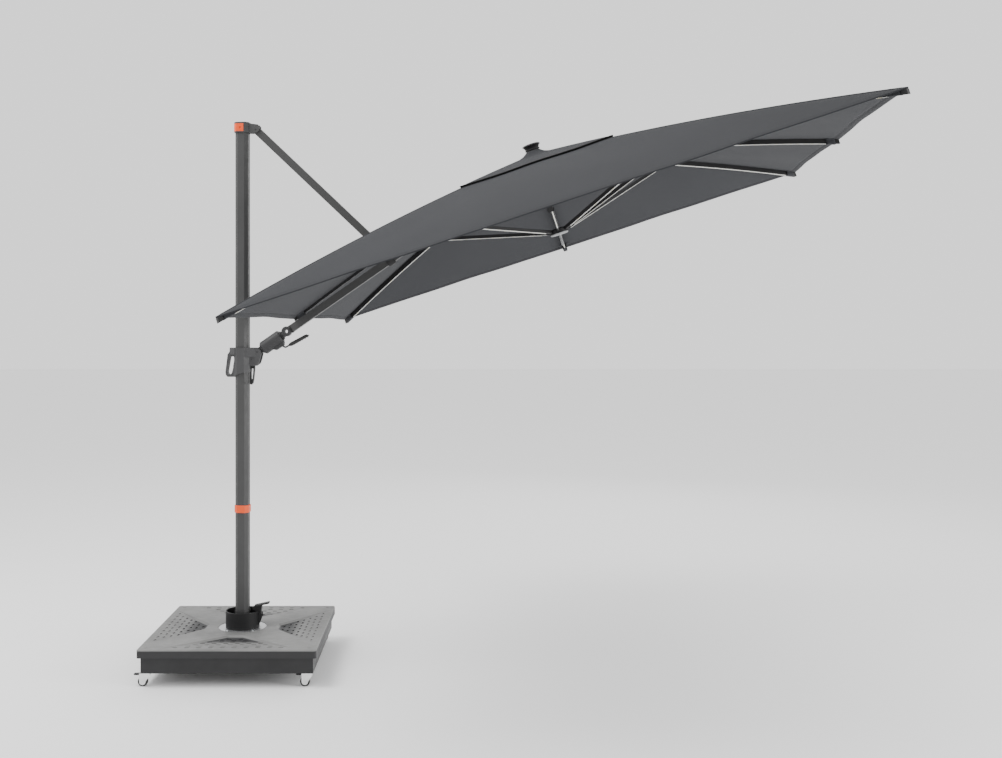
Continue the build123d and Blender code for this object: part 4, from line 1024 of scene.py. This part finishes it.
# ------------------------------------------------------------------ base and castors
@dataclass
class BaseTrim:
    """Bolts on the foot disc and the lid's screw caps."""

    bolt_head: float = 0.0075
    bolt_height: float = 0.0045
    bolt_sides: int = 24
    bolt_ease: float = 0.0008
    socket: float = 0.0036
    socket_depth: float = 0.0028
    socket_hole: float = 0.0002
    bolt_turns: tuple[float, ...] = (50.0, 130.0, 230.0, 310.0)
    cap_radius: float = 0.009
    cap_inset: float = 0.040
    cap_sides: int = 28
    sunk: float = 0.001

    def bolt(self, piece: MeshPiece, spot: Point) -> None:
        """Add one cap-head bolt with a round sunk drive.

        Args:
            piece: the piece it joins.
            spot: the middle of its foot, on the surface it sits on.
        """
        outer, high, ease, bottom = self.bolt_head, self.bolt_height, self.bolt_ease, -self.sunk
        drive, hole = high - self.socket_depth, self.socket_hole
        profile = ((outer, bottom), (outer, high - ease), (outer - ease, high), (self.socket, high),
                   (self.socket * 0.92, drive), (hole, drive), (hole, bottom))
        x, y, z = spot
        piece.lathe(lambda u, v, w: Vector((x + u, y + v, z + w)), profile, self.bolt_sides)

    def cap(self, piece: MeshPiece, spot: Vector) -> None:
        """Add one low domed screw cap, its foot's middle at the spot."""
        radius, bottom = self.cap_radius, -self.sunk
        profile = ((radius, bottom), (radius, 0.0006), (radius - 0.0012, 0.0014), (AXIS_HOLE, 0.0018),
                   (AXIS_HOLE, bottom))
        piece.lathe(lambda u, v, w: spot + Vector((u, v, w)), profile, self.cap_sides)

    def build(self) -> None:
        """Make the bolts and the caps."""
        disc_high, collar_high, lid_high = (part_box(n)[1] for n in ("foot_disc", "swivel_collar", "base_lid"))
        ring = (disc_high.y + collar_high.y) / 2
        bolts = MeshPiece("disc_bolts")
        for turn in self.bolt_turns:
            self.bolt(bolts, (ring * cos(radians(turn)), ring * sin(radians(turn)), disc_high.z))
        bolts.make("base", trim_material(Trim.STEEL))
        caps = MeshPiece("lid_screw_caps")
        for x in (-1, 1):
            for y in (-1, 1):
                self.cap(caps, Vector((x * (lid_high.x - self.cap_inset), y * (lid_high.y - self.cap_inset),
                                       lid_high.z)))
        caps.make("base", frame["nodes"]["base_lid"].data.materials[0])


@dataclass
class CastorTrim:
    """Hub caps on one castor's wheel."""

    corner: str
    cap_share: float = 0.46
    cap_stand: float = 0.0007
    sunk: float = 0.002
    chamfer: float = 0.0015
    sides: int = 36

    def build(self) -> None:
        """Make the hub caps of one wheel."""
        low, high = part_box(f"castor_wheel_{self.corner}")
        middle, radius = (low + high) / 2, (high.z - low.z) / 2
        half = (high.y - low.y) / 2
        piece = MeshPiece(f"hub_caps_{self.corner}")
        cap, stand = radius * self.cap_share, self.cap_stand
        profile = ((cap, -self.sunk), (cap, stand * 0.4), (cap - self.chamfer, stand), (cap * 0.55, stand * 0.3),
                   (cap * 0.5, stand), (AXIS_HOLE, stand), (AXIS_HOLE, -self.sunk))
        for side in (-1, 1):
            def place(u: float, v: float, w: float, s: int = side) -> Vector:
                """Place on the wheel's outer face."""
                return middle + Vector((u, s * (half + w), v))
            piece.lathe(place, profile, self.sides)
        piece.make(f"wheel_{self.corner}", trim_material(Trim.DARK_STEEL))


@dataclass
class PedalTrim:
    """Raised anti-slip bars across the foot pedal's tread."""

    bars: int = 6
    bar_width: float = 0.0035
    stand: float = 0.0012
    side_gap: float = 0.005
    end_gap: float = 0.008
    sunk: float = 0.0008
    shoulder: float = 0.6
    low_end: float = 0.006

    def build(self) -> None:
        """Make the bars along the sloping tread."""
        vertices = [v.co for v in frame["nodes"]["pedal_tread"].data.vertices]
        low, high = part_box("pedal_tread")
        far = max(vertices, key=lambda p: p.z)
        near = max((p for p in vertices if p.x < low.x + self.low_end), key=lambda p: p.z)
        if far.x < near.x:
            near, far = far, near
        along = Vector((far.x - near.x, 0.0, far.z - near.z))
        length = along.length
        along.normalize()
        up = Vector((-along.z, 0.0, along.x))
        start = Vector((near.x, 0.0, near.z))
        half = high.y - self.side_gap
        piece = MeshPiece("tread_bars")
        for k in range(self.bars):
            run = self.end_gap + (length - 2 * self.end_gap) * k / (self.bars - 1)
            wide, tall, ease = self.bar_width / 2, self.stand, self.shoulder
            section = ((-wide, -self.sunk), (-wide, tall * ease), (-wide * ease, tall), (wide * ease, tall),
                       (wide, tall * ease), (wide, -self.sunk))
            rows = [[start + along * (run + a) + up * b + Vector((0, y, 0)) for a, b in section]
                    for y in (-half, half)]
            first = len(piece.points)
            piece.grid(rows, [[(a, y) for a, _ in section] for y in (-half, half)], closed=True)
            count = len(section)
            piece.faces.append(tuple(range(first, first + count)))
            piece.faces.append(tuple(range(first + 2 * count - 1, first + count - 1, -1)))
        piece.make("pedal", trim_material(Trim.DARK_STEEL))


@dataclass
class GripTrim:
    """Soft ridges round the tilt lever's grip."""

    ridges: int = 7
    stand: float = 0.0008
    width: float = 0.0024
    sunk: float = 0.0006
    margin: float = 0.16
    sides: int = 32
    cut_step: float = 0.002
    squareness: float = 0.55

    def build(self) -> None:
        """Make rounded rings about the grip, square to its length."""
        points = np.array([v.co for v in frame["nodes"]["lever_grip"].data.vertices])
        low, high = points.min(0), points.max(0)
        middle = (low + high) / 2
        axes = np.linalg.svd(points - points.mean(0), full_matrices=False)[2]
        along, side, up = (Vector(a) for a in axes)
        spread = (points - middle) @ axes.T
        centre = Vector(middle) + sum((a * float(c) for a, c in zip((along, side, up), (
            spread.max(0) + spread.min(0)) / 2)), Vector())
        half_length, half_side, half_up = (float(h) for h in (spread.max(0) - spread.min(0)) / 2)
        piece = MeshPiece("grip_ridges")
        for k in range(self.ridges):
            run = half_length * (1 - self.margin) * (2 * k / (self.ridges - 1) - 1)
            rows, cut = [], []
            for out, shift in ((-self.sunk, -0.5), (self.stand, -0.3), (self.stand, 0.3), (-self.sunk, 0.5)):
                row = []
                for n in range(self.sides):
                    turn = 2 * pi * n / self.sides
                    round_x, round_y = (copysign(abs(c) ** self.squareness, c) for c in (cos(turn), sin(turn)))
                    row.append(centre + along * (run + shift * self.width) + side * (half_side + out) * round_x
                               + up * (half_up + out) * round_y)
                rows.append(row)
                cut.append([(self.cut_step * n, shift * self.width) for n in range(self.sides)])
            piece.band(rows, cut)
        piece.make("tilt_lever", trim_material(Trim.DARK_STEEL))


# ------------------------------------------------------------------ frame finishes
class FramePieces:
    """Finishes for the pieces that come from the frame."""

    def dress(self) -> None:
        """Give each frame piece its slot's finish, one material for each slot."""
        made = {slot: finish.dress(slot) for slot, finish in FINISHES.items()}
        for row in frame["record"]["subparts"]:
            mesh = frame["nodes"][row["node"]].data
            mesh.materials.clear()
            mesh.materials.append(made[row["material_slot"]])
        LOG.info("dressed %d frame pieces in %d finishes", len(frame["nodes"]), len(made))


# ------------------------------------------------------------------ studio
@dataclass(frozen=True)
class Softbox:
    """One large soft lamp."""

    name: str
    place: Point
    target: Point
    size: float
    power: float

    def build(self) -> None:
        """Hang the lamp and aim it."""
        lamp = bpy.data.lights.new(self.name, "AREA")
        lamp.shape, lamp.size, lamp.energy = "SQUARE", self.size, self.power
        holder = bpy.data.objects.new(self.name, lamp)
        holder.location = self.place
        aim = Vector(self.target) - Vector(self.place)
        holder.rotation_euler = aim.to_track_quat("-Z", "Y").to_euler()
        bpy.context.scene.collection.objects.link(holder)


@dataclass
class Studio:
    """Pale floor, white surroundings, soft lamps and the camera."""

    floor_half: float = 40.0
    floor_cells: int = 8
    floor_tone: str = "f7f7f7"
    sky: float = 1.35
    camera_place: Point = (1.161, -6.243, 1.843)
    lens: float = 41.2
    sensor: float = 36.0
    shift_x: float = 0.0449
    shift_y: float = -0.0555
    lamps: tuple[Softbox, ...] = (
        Softbox("overhead", (-2.5, -1.0, 6.0), (0.0, 0.0, 0.2), 2.5, 260.0),
        Softbox("side", (7.5, -2.5, 2.2), (1.0, 0.0, 1.7), 3.0, 330.0),
        Softbox("back", (3.0, 6.0, 4.0), (1.0, 0.0, 1.4), 4.0, 60.0),
    )

    def build(self) -> None:
        """Set the scene up."""
        self.floor()
        self.surroundings()
        for lamp in self.lamps:
            lamp.build()
        self.camera()

    def floor(self) -> None:
        """Large pale floor at ground level."""
        piece, count = MeshPiece("studio_floor"), self.floor_cells
        ticks = [self.floor_half * (2 * k / count - 1) for k in range(count + 1)]
        piece.grid([[Vector((x, y, 0.0)) for x in ticks] for y in ticks], [[(x, y) for x in ticks] for y in ticks])
        mesh = bpy.data.meshes.new(piece.name)
        mesh.from_pydata([tuple(p) for p in piece.points], [], piece.faces)
        ground = bpy.data.objects.new(piece.name, mesh)
        bpy.context.scene.collection.objects.link(ground)
        shader = Shader("floor_paint")
        clouds = shader.noise(shader.place(), 0.8)
        tone = linear(self.floor_tone)
        shader.set(Base_Color=shader.between(clouds, scaled(tone, 0.995), tone), Specular_IOR_Level=0.1)
        shader.set(Roughness=0.9)
        mesh.materials.append(shader.material)

    def surroundings(self) -> None:
        """Even white light from all round."""
        world = bpy.data.worlds.new("studio_white")
        world.use_nodes = True
        background = world.node_tree.nodes["Background"]
        background.inputs["Color"].default_value = (1.0, 1.0, 1.0, 1.0)
        background.inputs["Strength"].default_value = self.sky
        bpy.context.scene.world = world

    def camera(self) -> None:
        """Level camera looking along +Y."""
        data = bpy.data.cameras.new("camera")
        data.lens, data.sensor_width = self.lens, self.sensor
        data.shift_x, data.shift_y = self.shift_x, self.shift_y
        data.clip_end = 200.0
        holder = bpy.data.objects.new("camera", data)
        holder.location = self.camera_place
        holder.rotation_euler = (radians(90), 0.0, 0.0)
        bpy.context.scene.collection.objects.link(holder)
        bpy.context.scene.camera = holder


def main() -> None:
    """Build the umbrella's looks in order and note the two sizes."""
    logging.basicConfig(level=logging.INFO, format="%(name)s: %(message)s")
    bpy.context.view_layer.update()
    FramePieces().dress()
    shape = CanopyShape()
    LOG.info("canopy is %.3f by %.3f m", 2 * shape.half_length, 2 * shape.half_width)
    cover = CoverSheet(shape)
    cover.build()
    CoverTrim(cover).build()
    VentSheet(shape).build()
    FinialTrim(shape).build()
    BaseTrim().build()
    for corner in ("front_left", "front_right", "rear_left", "rear_right"):
        CastorTrim(corner).build()
    PedalTrim().build()
    GripTrim().build()
    Studio().build()


if __name__ == "__main__":
    main()
